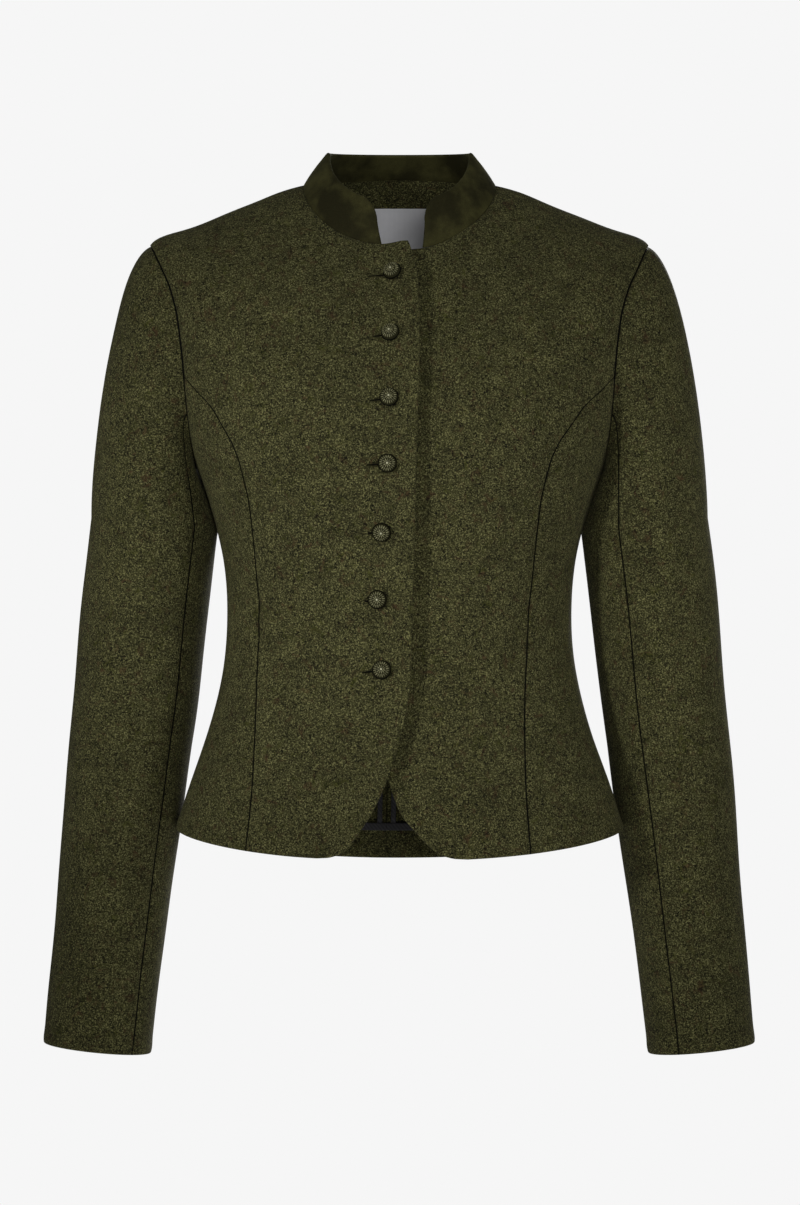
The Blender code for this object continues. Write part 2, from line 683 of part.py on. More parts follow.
for side, hand in ((RIGHT, "right"), (LEFT, "left")):
    front(f"front_{hand}", side, wool)
    side_panel(f"side_{hand}", side, wool)
    back(f"back_{hand}", side, wool)
    sleeve(f"upper_sleeve_{hand}", side, -BACK_JOIN, SLEEVE_FRONT_JOIN, wool)
    sleeve(f"under_sleeve_{hand}", side, SLEEVE_FRONT_JOIN, 2 * ARMHOLE_STEPS - BACK_JOIN, wool)
    hem_strip(f"hem_turn_up_{hand}", side, 0, TURN_UP, CLOTH + LAYER_GAP, wool)
    hem_strip(f"hem_binding_{hand}", side, TURN_UP - BINDING, TURN_UP,
              CLOTH + THIN_CLOTH + 2 * LAYER_GAP, tape)
    seam_strip(f"seam_allowance_{hand}", side, SEAM_GAP, ALLOWANCE, CLOTH + LAYER_GAP, wool)
    seam_strip(f"seam_binding_{hand}", side, ALLOWANCE - BINDING + 1, ALLOWANCE,
               CLOTH + THIN_CLOTH + 2 * LAYER_GAP, tape)

collar("collar", velvet)
neck_facing("back_neck_facing", wool)
label("label", satin)
for number, place in enumerate(BUTTONS, start=1):
    button(f"button_{number}", place, thread)
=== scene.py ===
# %% [markdown]
# This lesson dresses a short, fitted jacket of heathered wool with a velvet stand collar.
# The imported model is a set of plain, closed walls, one for each piece of the cut. Here each wall
# gets a finer shell that follows the same form, with rounded edges, pressed seams, creases and
# a cloth finish. All lengths in the tables are millimetres, turned to metres when a mesh is made.

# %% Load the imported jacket
import math

import bpy
import numpy as np
from mathutils import Matrix, Vector


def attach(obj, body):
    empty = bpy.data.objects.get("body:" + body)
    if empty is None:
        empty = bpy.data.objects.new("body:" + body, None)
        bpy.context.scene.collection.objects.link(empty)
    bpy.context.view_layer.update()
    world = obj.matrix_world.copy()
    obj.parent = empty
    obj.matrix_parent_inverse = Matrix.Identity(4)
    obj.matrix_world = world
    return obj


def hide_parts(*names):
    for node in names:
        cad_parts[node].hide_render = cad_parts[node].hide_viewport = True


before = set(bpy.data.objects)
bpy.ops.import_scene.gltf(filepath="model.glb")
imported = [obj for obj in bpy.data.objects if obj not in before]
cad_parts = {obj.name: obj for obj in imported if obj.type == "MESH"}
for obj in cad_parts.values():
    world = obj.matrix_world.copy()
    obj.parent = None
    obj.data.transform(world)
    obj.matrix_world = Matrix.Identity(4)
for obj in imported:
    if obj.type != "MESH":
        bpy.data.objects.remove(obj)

MM = 0.001
RIGHT, LEFT = -1, 1
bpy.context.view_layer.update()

# %% [markdown]
# The photograph looks level at the front from a few metres away. A pixel there is 0.78 mm wide
# at the middle of the jacket, and that with the distance gives the focal length. The camera comes
# first.

# %% Camera
PHOTO_HEIGHT_PX, MM_PER_PX = 1205, 0.78
CAMERA_DISTANCE, CAMERA_X, CAMERA_LEVEL = 3.6, 0.0004, -0.3233
SENSOR = 36.0

camera = bpy.data.objects.new("Camera", bpy.data.cameras.new("Camera"))
bpy.context.scene.collection.objects.link(camera)
camera.location = (CAMERA_X, -CAMERA_DISTANCE, CAMERA_LEVEL)
camera.rotation_euler = (math.radians(90), 0, 0)
camera.data.sensor_width = camera.data.sensor_height = SENSOR
camera.data.lens = SENSOR * CAMERA_DISTANCE / (PHOTO_HEIGHT_PX * MM_PER_PX * MM)
bpy.context.scene.camera = camera
print("focal length", round(camera.data.lens, 1), "mm")

# %% [markdown]
# The cut is kept as short tables. Each row of RINGS is a ring round the body, from the hem up to
# the neck: how wide it is, where its side, front and back lie, how square it is in plan and how
# it climbs from front to side. A cutter would call these the girths and the balance of the block.

# %% The rings round the body
RINGS = np.array([
    # height, half_width, side_y, side_z, front_y, front_z, back_y, back_z, square, ease
    (0, 174.0, -12, -499, -108, -519, 112, -528, 2.25, 1.7),
    (37, 162.5, -9, -462, -104, -477, 106, -482, 2.25, 1.7),
    (69, 151.0, -6, -430, -100, -441, 99, -443, 2.2, 1.7),
    (100, 142.4, -4, -399, -96, -406, 92, -408, 2.2, 1.7),
    (131, 136.6, -3, -368, -93, -372, 87, -373, 2.15, 1.7),
    (170, 134.2, -3, -329, -93, -330, 85, -331, 2.15, 1.7),
    (209, 137.4, -3, -290, -98, -290, 88, -291, 2.2, 1.7),
    (240, 144.7, -3, -259, -105, -260, 92, -257, 2.3, 1.7),
    (262, 151.7, -2, -237, -109, -238, 95, -233, 2.4, 1.7),
    (283, 159.4, -1, -216, -111, -219, 97, -209, 2.5, 1.7),
    (329, 171.5, 0, -170, -110, -184, 99, -162, 2.65, 1.7),
    (379, 182.0, 1, -120, -104, -149, 98, -113, 2.75, 1.7),
    (419, 189.0, 2, -80, -97, -124, 94, -77, 2.7, 1.75),
    (454, 194.0, 3, -44, -89, -102, 87, -44, 2.55, 1.8),
    (480, 169.0, 3, -33, -84, -91, 84, -31, 2.75, 1.75),
    (505, 143.0, 4, -23, -79, -80, 80, -19, 2.8, 1.7),
    (530, 118.0, 4, -13, -74, -70, 76, -7, 2.55, 1.6),
    (555, 96.0, 3, -4, -68, -59, 70, 3, 2.35, 1.45),
    (580, 75.0, 2, 2, -62, -49, 64, 13, 2.2, 1.3),
], dtype=float)
HEM, NECK = 0.0, 580.0
BUST_OUT, BUST_X, BUST_Z, BUST_REACH = 7.0, 84.0, -196.0, 52.0
print(len(RINGS), "rings, the narrowest", 2 * RINGS[:-3, 1].min(), "mm wide")

# %% [markdown]
# The seams that shape the body are curves seen from the front or the back, so they are kept as
# distances from the middle at each level. The two front edges are kept in the same way.

# %% The seams and edges on the body
FRONT_SEAMS = np.array([  # level, half the distance between the curved front seams
    (-512, 108.5), (-457, 104.5), (-398, 103), (-337, 104), (-296, 107), (-253, 111),
    (-217, 118.5), (-203, 124), (-189, 132.5), (-174, 143), (-161, 155), (-150, 165),
], dtype=float)
BACK_SEAMS = np.array([  # level, half the distance between the curved back seams
    (-525, 88), (-430, 75), (-335, 66), (-270, 70), (-215, 83), (-180, 98), (-155, 117),
    (-135, 140), (-118, 166),
], dtype=float)
# How far the middle of the worn jacket has drifted to its right, by level.
FRONT_DRIFT = np.array([(-520, -9), (-400, -7), (-300, -4), (-215, -3.5), (-150, 0)], dtype=float)
BACK_DRIFT = np.array([(-528, -11), (-300, -7), (-60, -1), (20, 0)], dtype=float)
FRONT_EDGES = np.array([  # height, the lap's edge, the edge under it
    (0, -62, 52), (1, -52, 41), (4, -43.5, 31), (10, -37, 22), (17, -31, 14.5), (33, -19.5, 0),
    (56, -8, -9.5), (78, -0.5, -16), (97, 4.5, -21), (118, 8, -25), (177, 10.2, -27),
    (262, 12.3, -29), (307, 13.5, -30), (403, 15.3, -31.5), (452, 15.4, -31), (512, 14, -29),
    (566, 8.5, -24), (580, 6.5, -22),
], dtype=float)
ARMHOLE_X = np.array([  # level, distance from the middle of the body
    (-230, 156.5), (-212, 159.5), (-189, 162.5), (-167, 164.3), (-139, 166.5), (-104, 171),
    (-84, 176), (-63, 185), (-45, 193.5), (-30, 200),
], dtype=float)
print("the armhole's line leans out from", ARMHOLE_X[0, 1], "to", ARMHOLE_X[-1, 1], "mm")

# %% [markdown]
# A table becomes a function through a cubic curve. Where the form flows, such as the girths, a
# natural spline gives the smoothest line. Where a curve must never overshoot, such as a seam, the
# slopes are held back instead. Everything works on whole arrays, so a panel is made in one go.

# %% Curves through a table
def flowing_slopes(places, values):
    """Slopes at a table's rows that give the smoothest curve, a natural cubic spline."""
    steps, count = np.diff(places), len(places)
    slopes = np.diff(values) / steps
    matrix, wanted = np.zeros((count, count)), np.zeros(count)
    matrix[0, :2], wanted[0] = (2, 1), 3 * slopes[0]
    matrix[-1, -2:], wanted[-1] = (1, 2), 3 * slopes[-1]
    for row in range(1, count - 1):
        before, after = steps[row - 1], steps[row]
        matrix[row, row - 1:row + 2] = after, 2 * (before + after), before
        wanted[row] = 3 * (after * slopes[row - 1] + before * slopes[row])
    return np.linalg.solve(matrix, wanted)


def steady_slopes(places, values):
    """Slopes at a table's rows that never let the curve between them overshoot."""
    slopes = np.diff(values) / np.diff(places)
    before, after = slopes[:-1], slopes[1:]
    steepest = np.where(np.abs(before) > np.abs(after), before, after)
    turning = before * after <= 0
    total = np.where(turning, 1.0, before + after + steepest)
    inner = np.where(turning, 0.0, 3 * before * after / total)
    return np.concatenate(([slopes[0]], inner, [slopes[-1]]))


def curve(table, column=1, slopes_of=steady_slopes):
    """A table's column as a function of its first one."""
    places, values = table[:, 0], table[:, column]
    slopes = slopes_of(places, values)

    def value(at):
        at = np.clip(at, places[0], places[-1])
        row = np.clip(np.searchsorted(places, at) - 1, 0, len(places) - 2)
        step, rise = places[row + 1] - places[row], values[row + 1] - values[row]
        part, start, end = (at - places[row]) / step, slopes[row] * step, slopes[row + 1] * step
        return (values[row] + part * start + part ** 2 * (3 * rise - 2 * start - end)
                + part ** 3 * (start + end - 2 * rise))

    return value


ring_curves = [curve(RINGS, column, flowing_slopes) for column in range(RINGS.shape[1])]
front_seam_x, back_seam_x = curve(FRONT_SEAMS), curve(BACK_SEAMS)
front_drift, back_drift = curve(FRONT_DRIFT), curve(BACK_DRIFT)
lap_x, under_x = curve(FRONT_EDGES, 1), curve(FRONT_EDGES, 2)
armhole_x = curve(ARMHOLE_X)
print("half the waist is", float(ring_curves[1](170.0)), "mm wide")

# %% [markdown]
# A place on the body is an angle and a height: the angle runs from -90 at the centre front past
# 0 at the side to 90 at the centre back. The plan of a ring is a superellipse, which is rounder
# or squarer by one exponent, as a torso is between its waist and its shoulders.

# %% Places on the body
CENTRE_FRONT, CENTRE_BACK = -90.0, 90.0
# Small steps for measuring a direction: in degrees and in millimetres of height.
STEP_ROUND, STEP_UP = 0.1, 0.5


def ring_points(ring, side, angle):
    """Points of a ring, or of one ring for each angle."""
    _, half_width, side_y, side_z, front_y, front_z, back_y, back_z, square, ease = ring
    across, along = np.cos(np.radians(angle)), np.sin(np.radians(angle))
    reach = (np.abs(across) ** square + np.abs(along) ** square) ** (-1 / square)
    end_y, end_z = np.where(along < 0, front_y, back_y), np.where(along < 0, front_z, back_z)
    part = np.minimum(np.abs(along) * reach, 1.0)
    points = (side * half_width * reach * across, side_y + (end_y - side_y) * part,
              side_z + (end_z - side_z) * part ** ease)
    return np.stack(np.broadcast_arrays(*points), axis=-1)


def body_points(side, angle, height):
    points = ring_points([column(height) for column in ring_curves], side, angle)
    off = (np.abs(points[..., 0]) - BUST_X) ** 2 + (points[..., 2] - BUST_Z) ** 2
    fullness = BUST_OUT * np.exp(-off / BUST_REACH ** 2)
    points[..., 1] -= np.where(np.asarray(angle) < 0, fullness, 0.0)
    return points


def unit(vectors):
    return vectors / np.linalg.norm(vectors, axis=-1, keepdims=True)


def body_normals(side, angle, height):
    turned = (body_points(side, angle + STEP_ROUND, height)
              - body_points(side, angle - STEP_ROUND, height))
    low, high = np.maximum(height - STEP_UP, HEM), np.minimum(height + STEP_UP, NECK)
    raised = body_points(side, angle, high) - body_points(side, angle, low)
    return unit(np.asarray(side)[..., None] * np.cross(turned, raised))


def body_grid(side, angle, height):
    """Points on the body and the normals there."""
    angle, height = np.broadcast_arrays(angle, height)
    return body_points(side, angle, height), body_normals(side, angle, height)


# %% [markdown]
# To lay a seam on the body, each ring is asked at which angle it meets the seam's line. The
# answer is found by halving the span again and again, for all the rings at once.

# %% Where a line crosses the rings
HALVINGS, GUESSES = 40, 12
PAST_END = 1.25  # the search starts this much past the centre line, for edges that cross it
LED_OVER = 6  # the higher, the nearer to the top a seam begins to turn to the armhole


def crossing(wanted, low, high):
    """Where wanted(), negative at low and positive at high, passes through nought."""
    for _ in range(HALVINGS):
        middle = (low + high) / 2
        below = wanted(middle) < 0
        low, high = np.where(below, middle, low), np.where(below, high, middle)
    return (low + high) / 2


def angle_of_line(side, height, end, line):
    """The angle at which each ring meets a line given as its distance across, by level."""
    def wanted(angle):
        points = body_points(side, angle, height)
        return side * points[..., 0] - line(points[..., 2])
    start = np.asarray(height) * 0 + np.asarray(end) * PAST_END
    return crossing(wanted, start, start * 0)


def curved_seam(side, height, end, line, join):
    """The angle of a curved seam, led over near its top so that it ends in the armhole."""
    top = armhole_height(join)
    off = angle_of_line(side, top, end, armhole_x) - angle_of_line(side, top, end, line)
    part = np.clip(height / top, 0, 1) ** LED_OVER
    return angle_of_line(side, height, end, line) + off * part


def front_seam(side, height):
    return curved_seam(side, height, CENTRE_FRONT,
                       lambda z: front_seam_x(z) + side * front_drift(z), FRONT_JOIN)


def back_seam(side, height):
    return curved_seam(side, height, CENTRE_BACK,
                       lambda z: back_seam_x(z) + side * back_drift(z), BACK_JOIN)


def centre_back(side, height, off=0.0):
    return angle_of_line(side, height, CENTRE_BACK, lambda z: side * back_drift(z) + off)


def front_edge(side, height):
    x = lap_x(height) if side == RIGHT else under_x(height)
    return angle_of_line(side, height, CENTRE_FRONT, lambda z: side * x)


def place_on(side, x, z, angle, height):
    """The places on the body that lie at x and z, found from a first guess."""
    for _ in range(GUESSES):
        here = body_points(side, angle, height)
        by_angle = (body_points(side, angle + STEP_ROUND, height) - here) / STEP_ROUND
        by_height = (body_points(side, angle, height + STEP_ROUND) - here) / STEP_ROUND
        off_x, off_z = x - here[..., 0], z - here[..., 2]
        scale = by_angle[..., 0] * by_height[..., 2] - by_height[..., 0] * by_angle[..., 2]
        angle = angle + (off_x * by_height[..., 2] - by_height[..., 0] * off_z) / scale
        height = height + (by_angle[..., 0] * off_z - off_x * by_angle[..., 2]) / scale
    return angle, height


# %% [markdown]
# The armhole is the line where the sleeve is set in. It is cut into steps, closest together at
# the shoulder point and under the arm, where it curves most. Steps 0 to 15 run down the front
# and 15 to 30 up the back.

# %% The armhole
ARMHOLE_STEPS = 15
FULL_ROUND = 2 * ARMHOLE_STEPS
FRONT_JOIN, BACK_JOIN, SLEEVE_FRONT_JOIN = 8, 7, 10
PART_STEP = 0.3


def side_beyond_armhole(height):
    return ring_curves[1](height) - armhole_x(ring_curves[3](height))


ARMHOLE_LOW = float(crossing(side_beyond_armhole, np.array(240.0), np.array(330.0)))
ARMHOLE_HIGH = float(crossing(lambda height: -side_beyond_armhole(height),
                              np.array(400.0), np.array(470.0)))


def armhole_height(step):
    down = (1 - np.cos(np.pi * np.asarray(step, float) / ARMHOLE_STEPS)) / 2
    return ARMHOLE_HIGH - (ARMHOLE_HIGH - ARMHOLE_LOW) * down


def armhole_place(side, step):
    """The angles and heights of steps round the armhole."""
    step = np.mod(np.asarray(step, float), FULL_ROUND)
    height = armhole_height(np.minimum(step, FULL_ROUND - step))
    end = np.where(step <= ARMHOLE_STEPS, CENTRE_FRONT, CENTRE_BACK)
    angle = angle_of_line(side, height, end, armhole_x)
    at_an_end = (np.abs(step - ARMHOLE_STEPS) < 1e-6) | (step < 1e-6)
    return np.where(at_an_end, 0.0, angle), height


print("the armhole runs from height", round(ARMHOLE_LOW, 1), "to", round(ARMHOLE_HIGH, 1))

# %% [markdown]
# Worn cloth is never quite even. A few long, shallow waves, the same on both sides of a seam
# because they depend on the place alone, keep the light from running too smoothly. The creases
# that show in the photograph, and like ones at the back, are listed one by one: each is a soft
# trough between two places, seen from the front or from behind.

# %% Unevenness and creases
WAVES = 7
WAVE_LENGTHS_MM = (45.0, 130.0)
WAVE_DEPTH_MM = 0.16
CREASE_TURNS_AWAY = 1.6  # how soon a crease fades where the cloth turns away from its side
random = np.random.default_rng(12)
wave_ways = unit(random.normal(size=(WAVES, 3)))
wave_lengths = random.uniform(*WAVE_LENGTHS_MM, WAVES)
wave_starts = random.uniform(0, 2 * np.pi, WAVES)
print(WAVES, "long waves of", WAVE_LENGTHS_MM, "mm")

CREASES = np.array([
    # facing (-1 front, 1 back), x and z of one end, x and z of the other, depth, width
    (-1, -203, -205, -160, -262, 1.3, 9), (-1, -212, -250, -176, -292, 1.1, 8),
    (-1, -222, -330, -181, -352, 1.4, 9), (-1, -230, -368, -188, -380, 1.0, 8),
    (-1, -233, -410, -192, -432, 1.2, 9), (-1, -245, -470, -205, -480, 0.7, 8),
    (-1, 205, -208, 162, -268, 1.3, 9), (-1, 214, -262, 178, -300, 1.0, 8),
    (-1, 226, -322, 184, -350, 1.4, 9), (-1, 232, -372, 190, -384, 1.0, 8),
    (-1, 238, -420, 195, -436, 1.1, 9), (-1, 250, -505, 212, -520, 0.7, 8),
    (-1, -158, -196, -124, -150, 1.2, 10), (-1, 158, -200, 126, -148, 1.2, 10),
    (-1, -128, -318, -84, -330, 0.9, 8), (-1, 128, -322, 92, -334, 0.9, 8),
    (-1, -126, -352, -92, -346, 0.7, 7), (-1, 122, -356, 86, -348, 0.7, 7),
    (-1, -60, -104, -96, -132, 0.8, 10), (-1, 62, -100, 100, -130, 0.8, 10),
    (1, -205, -212, -165, -270, 1.3, 10), (1, 205, -215, 165, -268, 1.2, 10),
    (1, -226, -340, -184, -352, 1.3, 9), (1, 227, -334, 186, -356, 1.3, 9),
    (1, -232, -392, -190, -384, 1.2, 9), (1, 234, -388, 192, -380, 1.2, 9),
    (1, -90, -300, -30, -316, 1.1, 10), (1, 88, -304, 34, -314, 1.0, 10),
    (1, -100, -338, -38, -332, 0.9, 9), (1, 98, -342, 30, -334, 0.9, 9),
    (1, -150, -170, -110, -120, 1.2, 11), (1, 150, -172, 112, -118, 1.2, 11),
], dtype=float)


def wavy(points):
    """The long waves' height at each point."""
    height = np.zeros(points.shape[:-1])
    for way, length, start in zip(wave_ways, wave_lengths, wave_starts):
        height += np.sin(2 * np.pi * (points @ way) / length + start)
    return height * WAVE_DEPTH_MM


def creased(points, normals):
    """How deep the creases lie at each point."""
    depth = np.zeros(points.shape[:-1])
    for facing, x1, z1, x2, z2, deep, wide in CREASES:
        run_x, run_z = x2 - x1, z2 - z1
        off_x, off_z = points[..., 0] - x1, points[..., 2] - z1
        along = np.clip((off_x * run_x + off_z * run_z) / (run_x ** 2 + run_z ** 2), 0, 1)
        off = np.hypot(off_x - along * run_x, off_z - along * run_z)
        faced = np.clip(CREASE_TURNS_AWAY * facing * normals[..., 1], 0, 1)
        depth += deep * np.exp(-(off / wide) ** 2) * np.sqrt(4 * along * (1 - along)) * faced
    return depth


# %% [markdown]
# Each piece of cloth is a thin, closed shell: an outer and an inner grid of points, joined round
# their border. Solidify would give the same wall, but not its edges. A seam's edge turns steeply
# inwards beside a pressed hollow, so two panels meet in a fine, deep groove, which is what draws
# a seam as a dark line. A fold, as at the hem, swells a little and then rounds over half its
# thickness. A cut edge is only softened.

# %% Shells with finished edges
CLOTH = 2.2
EDGES = {
    # outer rounding's width and depth, inner rounding's, hollow's depth and width, swelling's
    "seam": (1.2, 2.3, 0.8, -1.6, 0.5, 3.0, 0.0, 1.0),
    "fold": (1.1, 1.1, 1.0, 1.0, 0.0, 1.0, 0.5, 5.0),
    "cut": (0.8, 0.8, 0.8, 0.8, 0.0, 1.0, 0.0, 1.0),
    "set_in": (0.3, 0.3, 0.1, 0.1, 0.0, 1.0, 0.0, 1.0),
    "rolled": (1.5, 1.5, 1.3, 1.3, 0.0, 1.0, 0.25, 3.0),
}
LEAST_CLOTH = 0.2
MARGIN = (0.0, 0.15, 0.4, 0.8, 1.4, 2.4, 4.0, 6.5)


def uneven(grid):
    """A grid's points with the waves and creases of worn cloth."""
    points, normals = grid
    return points + normals * (wavy(points) - creased(points, normals))[..., None]


def with_normals(points, way):
    """A grid of points and its normals; way is 1 or -1, whichever makes them point outwards."""
    by_row, by_column = np.gradient(points, axis=0), np.gradient(points, axis=1)
    return points, unit(way * np.cross(by_column, by_row))


def distances(points, axis):
    """Distance of each grid point from the grid's first and last edge, along an axis."""
    lengths = np.linalg.norm(np.diff(points, axis=axis), axis=-1)
    from_start = np.cumsum(lengths, axis=axis)
    nought = np.zeros_like(np.take(from_start, [0], axis=axis))
    from_start = np.concatenate((nought, from_start), axis=axis)
    return from_start, np.take(from_start, [-1], axis=axis) - from_start


def rounding(distance, width):
    """A quarter round over a width: 1 at the edge, 0 where it ends."""
    inside = np.clip(1 - distance / width, 0, 1)
    return 1 - np.sqrt(1 - inside ** 2)


def finished_edges(points, edges, thickness):
    """How much the outer and inner grid give way near the four edges."""
    outer, inner, relief = np.zeros((3, *points.shape[:-1]))
    scale = min(thickness / CLOTH, 1.0)
    sides = (*distances(points, 0), *distances(points, 1))
    for distance, edge in zip(sides, edges):
        wide_out, deep_out, wide_in, deep_in, hollow, wide, swelling, broad = EDGES[edge]
        outer = np.maximum(outer, rounding(distance, wide_out * scale) * deep_out * scale)
        inner += rounding(distance, wide_in * scale) * deep_in * scale
        relief += hollow * np.exp(-(distance / wide) ** 2)
        relief -= swelling * (distance / broad) * np.exp(0.5 - (distance / broad) ** 2 / 2)
    outer += relief
    return outer, np.minimum(inner, thickness - outer - LEAST_CLOTH)


def shell_faces(rows, columns):
    """Faces of two grids of points, one after the other, and of the border between them."""
    index = np.arange(rows * columns).reshape(rows, columns)
    corners = (index[:-1, :-1], index[:-1, 1:], index[1:, 1:], index[1:, :-1])
    top = np.stack([corner.ravel() for corner in corners], axis=1)
    faces = [top, top[:, ::-1] + rows * columns]
    loop = np.concatenate((index[0, :-1], index[:-1, -1], index[-1, :0:-1], index[:0:-1, 0]))
    after = np.roll(loop, -1)
    faces.append(np.stack((after, loop, loop + rows * columns, after + rows * columns), axis=1))
    return np.concatenate(faces)


def add_mesh(name, points, faces, finish):
    """A smooth mesh of points in millimetres, in the scene."""
    mesh = bpy.data.meshes.new(name)
    mesh.from_pydata((np.asarray(points) * MM).tolist(), [], faces)
    mesh.shade_smooth()
    mesh.materials.append(finish)
    made = bpy.data.objects.new(name, mesh)
    bpy.context.scene.collection.objects.link(made)
    return made


def cloth_shell(name, grid, edges, finish, thickness=CLOTH, sunk=0.0, plain=False):
    """A shell of cloth whose faces look outwards, along the grid's normals.

    edges names the edges of its first row, last row, first column and last column.
    """
    normals = grid[1]
    points = grid[0] if plain else uneven(grid)
    outer_give, inner_give = finished_edges(points, edges, thickness)
    outer = points - normals * (sunk + outer_give)[..., None]
    inner = points - normals * (sunk + thickness - inner_give)[..., None]
    rows, columns = points.shape[:2]
    faces = shell_faces(rows, columns)
    winding = np.cross(np.diff(points, axis=1)[:-1], np.diff(points, axis=0)[:, :-1])
    if (winding * normals[:-1, :-1]).sum() < 0:
        faces = faces[:, ::-1]
    both = np.concatenate((outer.reshape(-1, 3), inner.reshape(-1, 3)))
    return add_mesh(name, both, faces.tolist(), finish)


# %% [markdown]
# Every piece of cloth has the size that it was cut to worked out and printed. The width and
# length are the longest row and column of its grid, and the area is that of its outer face.

# %% Measuring a piece of cloth
SHEET_LEAST = 0.01


def dress(piece, node, points):
    """Puts a piece in place of its node and prints its cut."""
    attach(piece, "root")
    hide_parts(node)
    by_row, by_column = np.diff(points, axis=0)[:, :-1], np.diff(points, axis=1)[:-1]
    area = np.linalg.norm(np.cross(by_row, by_column), axis=-1).sum() * MM ** 2
    width = max(distances(points, 1)[0][:, -1].max() * MM, SHEET_LEAST)
    length = max(distances(points, 0)[0][-1].max() * MM, SHEET_LEAST)
    area = min(float(area), width * length)
    print(f"{piece.name}: cut {width * 1000:.0f} by {length * 1000:.0f} mm, {area:.4f} square m")


# %% [markdown]
# Colours are written as they look on a screen, in sRGB hex, and one function turns them to the
# linear values that the shader wants. One other function adds a node with its settings and
# links; everything else about a finish is spelled out where it is made.

# %% Helpers for finishes
def linear(hex_colour):
    """An sRGB hex colour as linear red, green, blue and alpha."""
    values = []
    for start in (1, 3, 5):
        value = int(hex_colour[start:start + 2], 16) / 255
        values.append(value / 12.92 if value <= 0.04045 else ((value + 0.055) / 1.055) ** 2.4)
    return (*values, 1.0)


def add_node(tree, kind, settings, links=None):
    """Adds a node. A setting named like an input, or by its number, goes to that input."""
    made = tree.nodes.new(kind)
    for name, value in settings.items():
        if isinstance(name, str) and hasattr(made, name):
            setattr(made, name, value)
    for name, value in settings.items():
        if not (isinstance(name, str) and hasattr(made, name)):
            made.inputs[name].default_value = value
    for name, source in (links or {}).items():
        tree.links.new(source, made.inputs[name])
    return made


def new_finish(name):
    """A material with its node tree and its Principled shader."""
    finish = bpy.data.materials.new(name)
    finish.use_nodes = True
    tree = finish.node_tree
    return finish, tree, tree.nodes["Principled BSDF"]


def per_metre(size_mm):
    """A noise's scale for a pattern of that size, in a space measured in metres."""
    return 1000 / size_mm


def places(tree):
    """Places on the object itself."""
    return add_node(tree, "ShaderNodeTexCoord", {}).outputs["Object"]


def noise(tree, place, size_mm, output="Fac", **settings):
    settings["Scale"] = per_metre(size_mm)
    return add_node(tree, "ShaderNodeTexNoise", settings, {"Vector": place}).outputs[output]


def mask(tree, source, low, high):
    """0 below low and 1 above high, with a soft step between."""
    return add_node(tree, "ShaderNodeMapRange", {
        "interpolation_type": "SMOOTHSTEP", "From Min": low, "From Max": high},
        {"Value": source}).outputs["Result"]


def mixed(tree, factor, first, second):
    """Two colours mixed, each a hex colour or another node's output."""
    settings, links = {"data_type": "RGBA"}, {0: factor}
    for socket, colour in ((6, first), (7, second)):
        if isinstance(colour, str):
            settings[socket] = linear(colour)
        else:
            links[socket] = colour
    return add_node(tree, "ShaderNodeMix", settings, links).outputs[2]


def shaded(tree, colour, source, least, most):
    """A colour made darker or lighter by a noise, from least to most times its own value."""
    value = add_node(tree, "ShaderNodeMapRange", {
        "From Min": 0.3, "From Max": 0.7, "To Min": least, "To Max": most}, {"Value": source})
    return add_node(tree, "ShaderNodeHueSaturation", {}, {
        "Color": colour, "Value": value.outputs["Result"]}).outputs["Color"]


def raised(tree, height, strength, deep_mm, under=None):
    """A bump of that depth, on top of another one where one is given."""
    links = {"Height": height} if under is None else {"Height": height, "Normal": under}
    return add_node(tree, "ShaderNodeBump", {"Strength": strength, "Distance": deep_mm * MM},
                    links).outputs["Normal"]


def complete(tree, shader, colour, normal, **constants):
    """Links a colour and a bump to the shader, and sets its constants."""
    tree.links.new(colour, shader.inputs["Base Color"])
    tree.links.new(normal, shader.inputs["Normal"])
    for name, value in constants.items():
        shader.inputs[name.replace("_", " ")].default_value = value


# %% [markdown]
# The main cloth is a brushed woollen, such as a light loden: carded fibres dyed dark green, straw
# and brown are mixed before spinning, then woven, fulled and brushed until no weave shows. So the
# eye sees no threads, but a tangle of fine fibres in several colours, cloudy over a few
# centimetres. Real fibres are 0.03 mm thick and would vanish here, so they are drawn about 1 mm
# wide. The cloth is quite matt, with the faint pale bloom that brushed fibre ends give at a slant.

# %% Heathered wool
def heathered_wool(name):
    finish, tree, shader = new_finish(name)
    place = places(tree)
    fibres = noise(tree, place, 2.6, Detail=4.0, Roughness=0.75, Distortion=1.4)
    fine = noise(tree, place, 1.1, Detail=2.0, Roughness=0.7)
    clouds = noise(tree, place, 22, Detail=5.0, Roughness=0.65, Distortion=0.6)
    tints = noise(tree, place, 9, "Color", Detail=4.0, Roughness=0.7, Distortion=1.0)
    parts = add_node(tree, "ShaderNodeSeparateColor", {}, {"Color": tints}).outputs
    green = mixed(tree, mask(tree, fibres, 0.38, 0.64), "#0a0902", "#454427")
    green = mixed(tree, mask(tree, fine, 0.49, 0.69), green, "#7b794e")
    brown = mixed(tree, mask(tree, fibres, 0.38, 0.62), "#171007", "#4d3c26")
    colour = mixed(tree, mask(tree, parts["Red"], 0.54, 0.72), green, brown)
    moss = mixed(tree, mask(tree, fibres, 0.38, 0.62), "#101203", "#46471f")
    colour = mixed(tree, mask(tree, parts["Green"], 0.54, 0.72), colour, moss)
    nap = raised(tree, fibres, 0.55, 0.6)
    nap = raised(tree, fine, 0.35, 0.4, under=nap)
    complete(tree, shader, shaded(tree, colour, clouds, 0.78, 1.22), nap, Roughness=0.95,
             Specular_IOR_Level=0.15, Sheen_Weight=0.06, Sheen_Roughness=0.6,
             Sheen_Tint=linear("#b5b188"))
    return finish


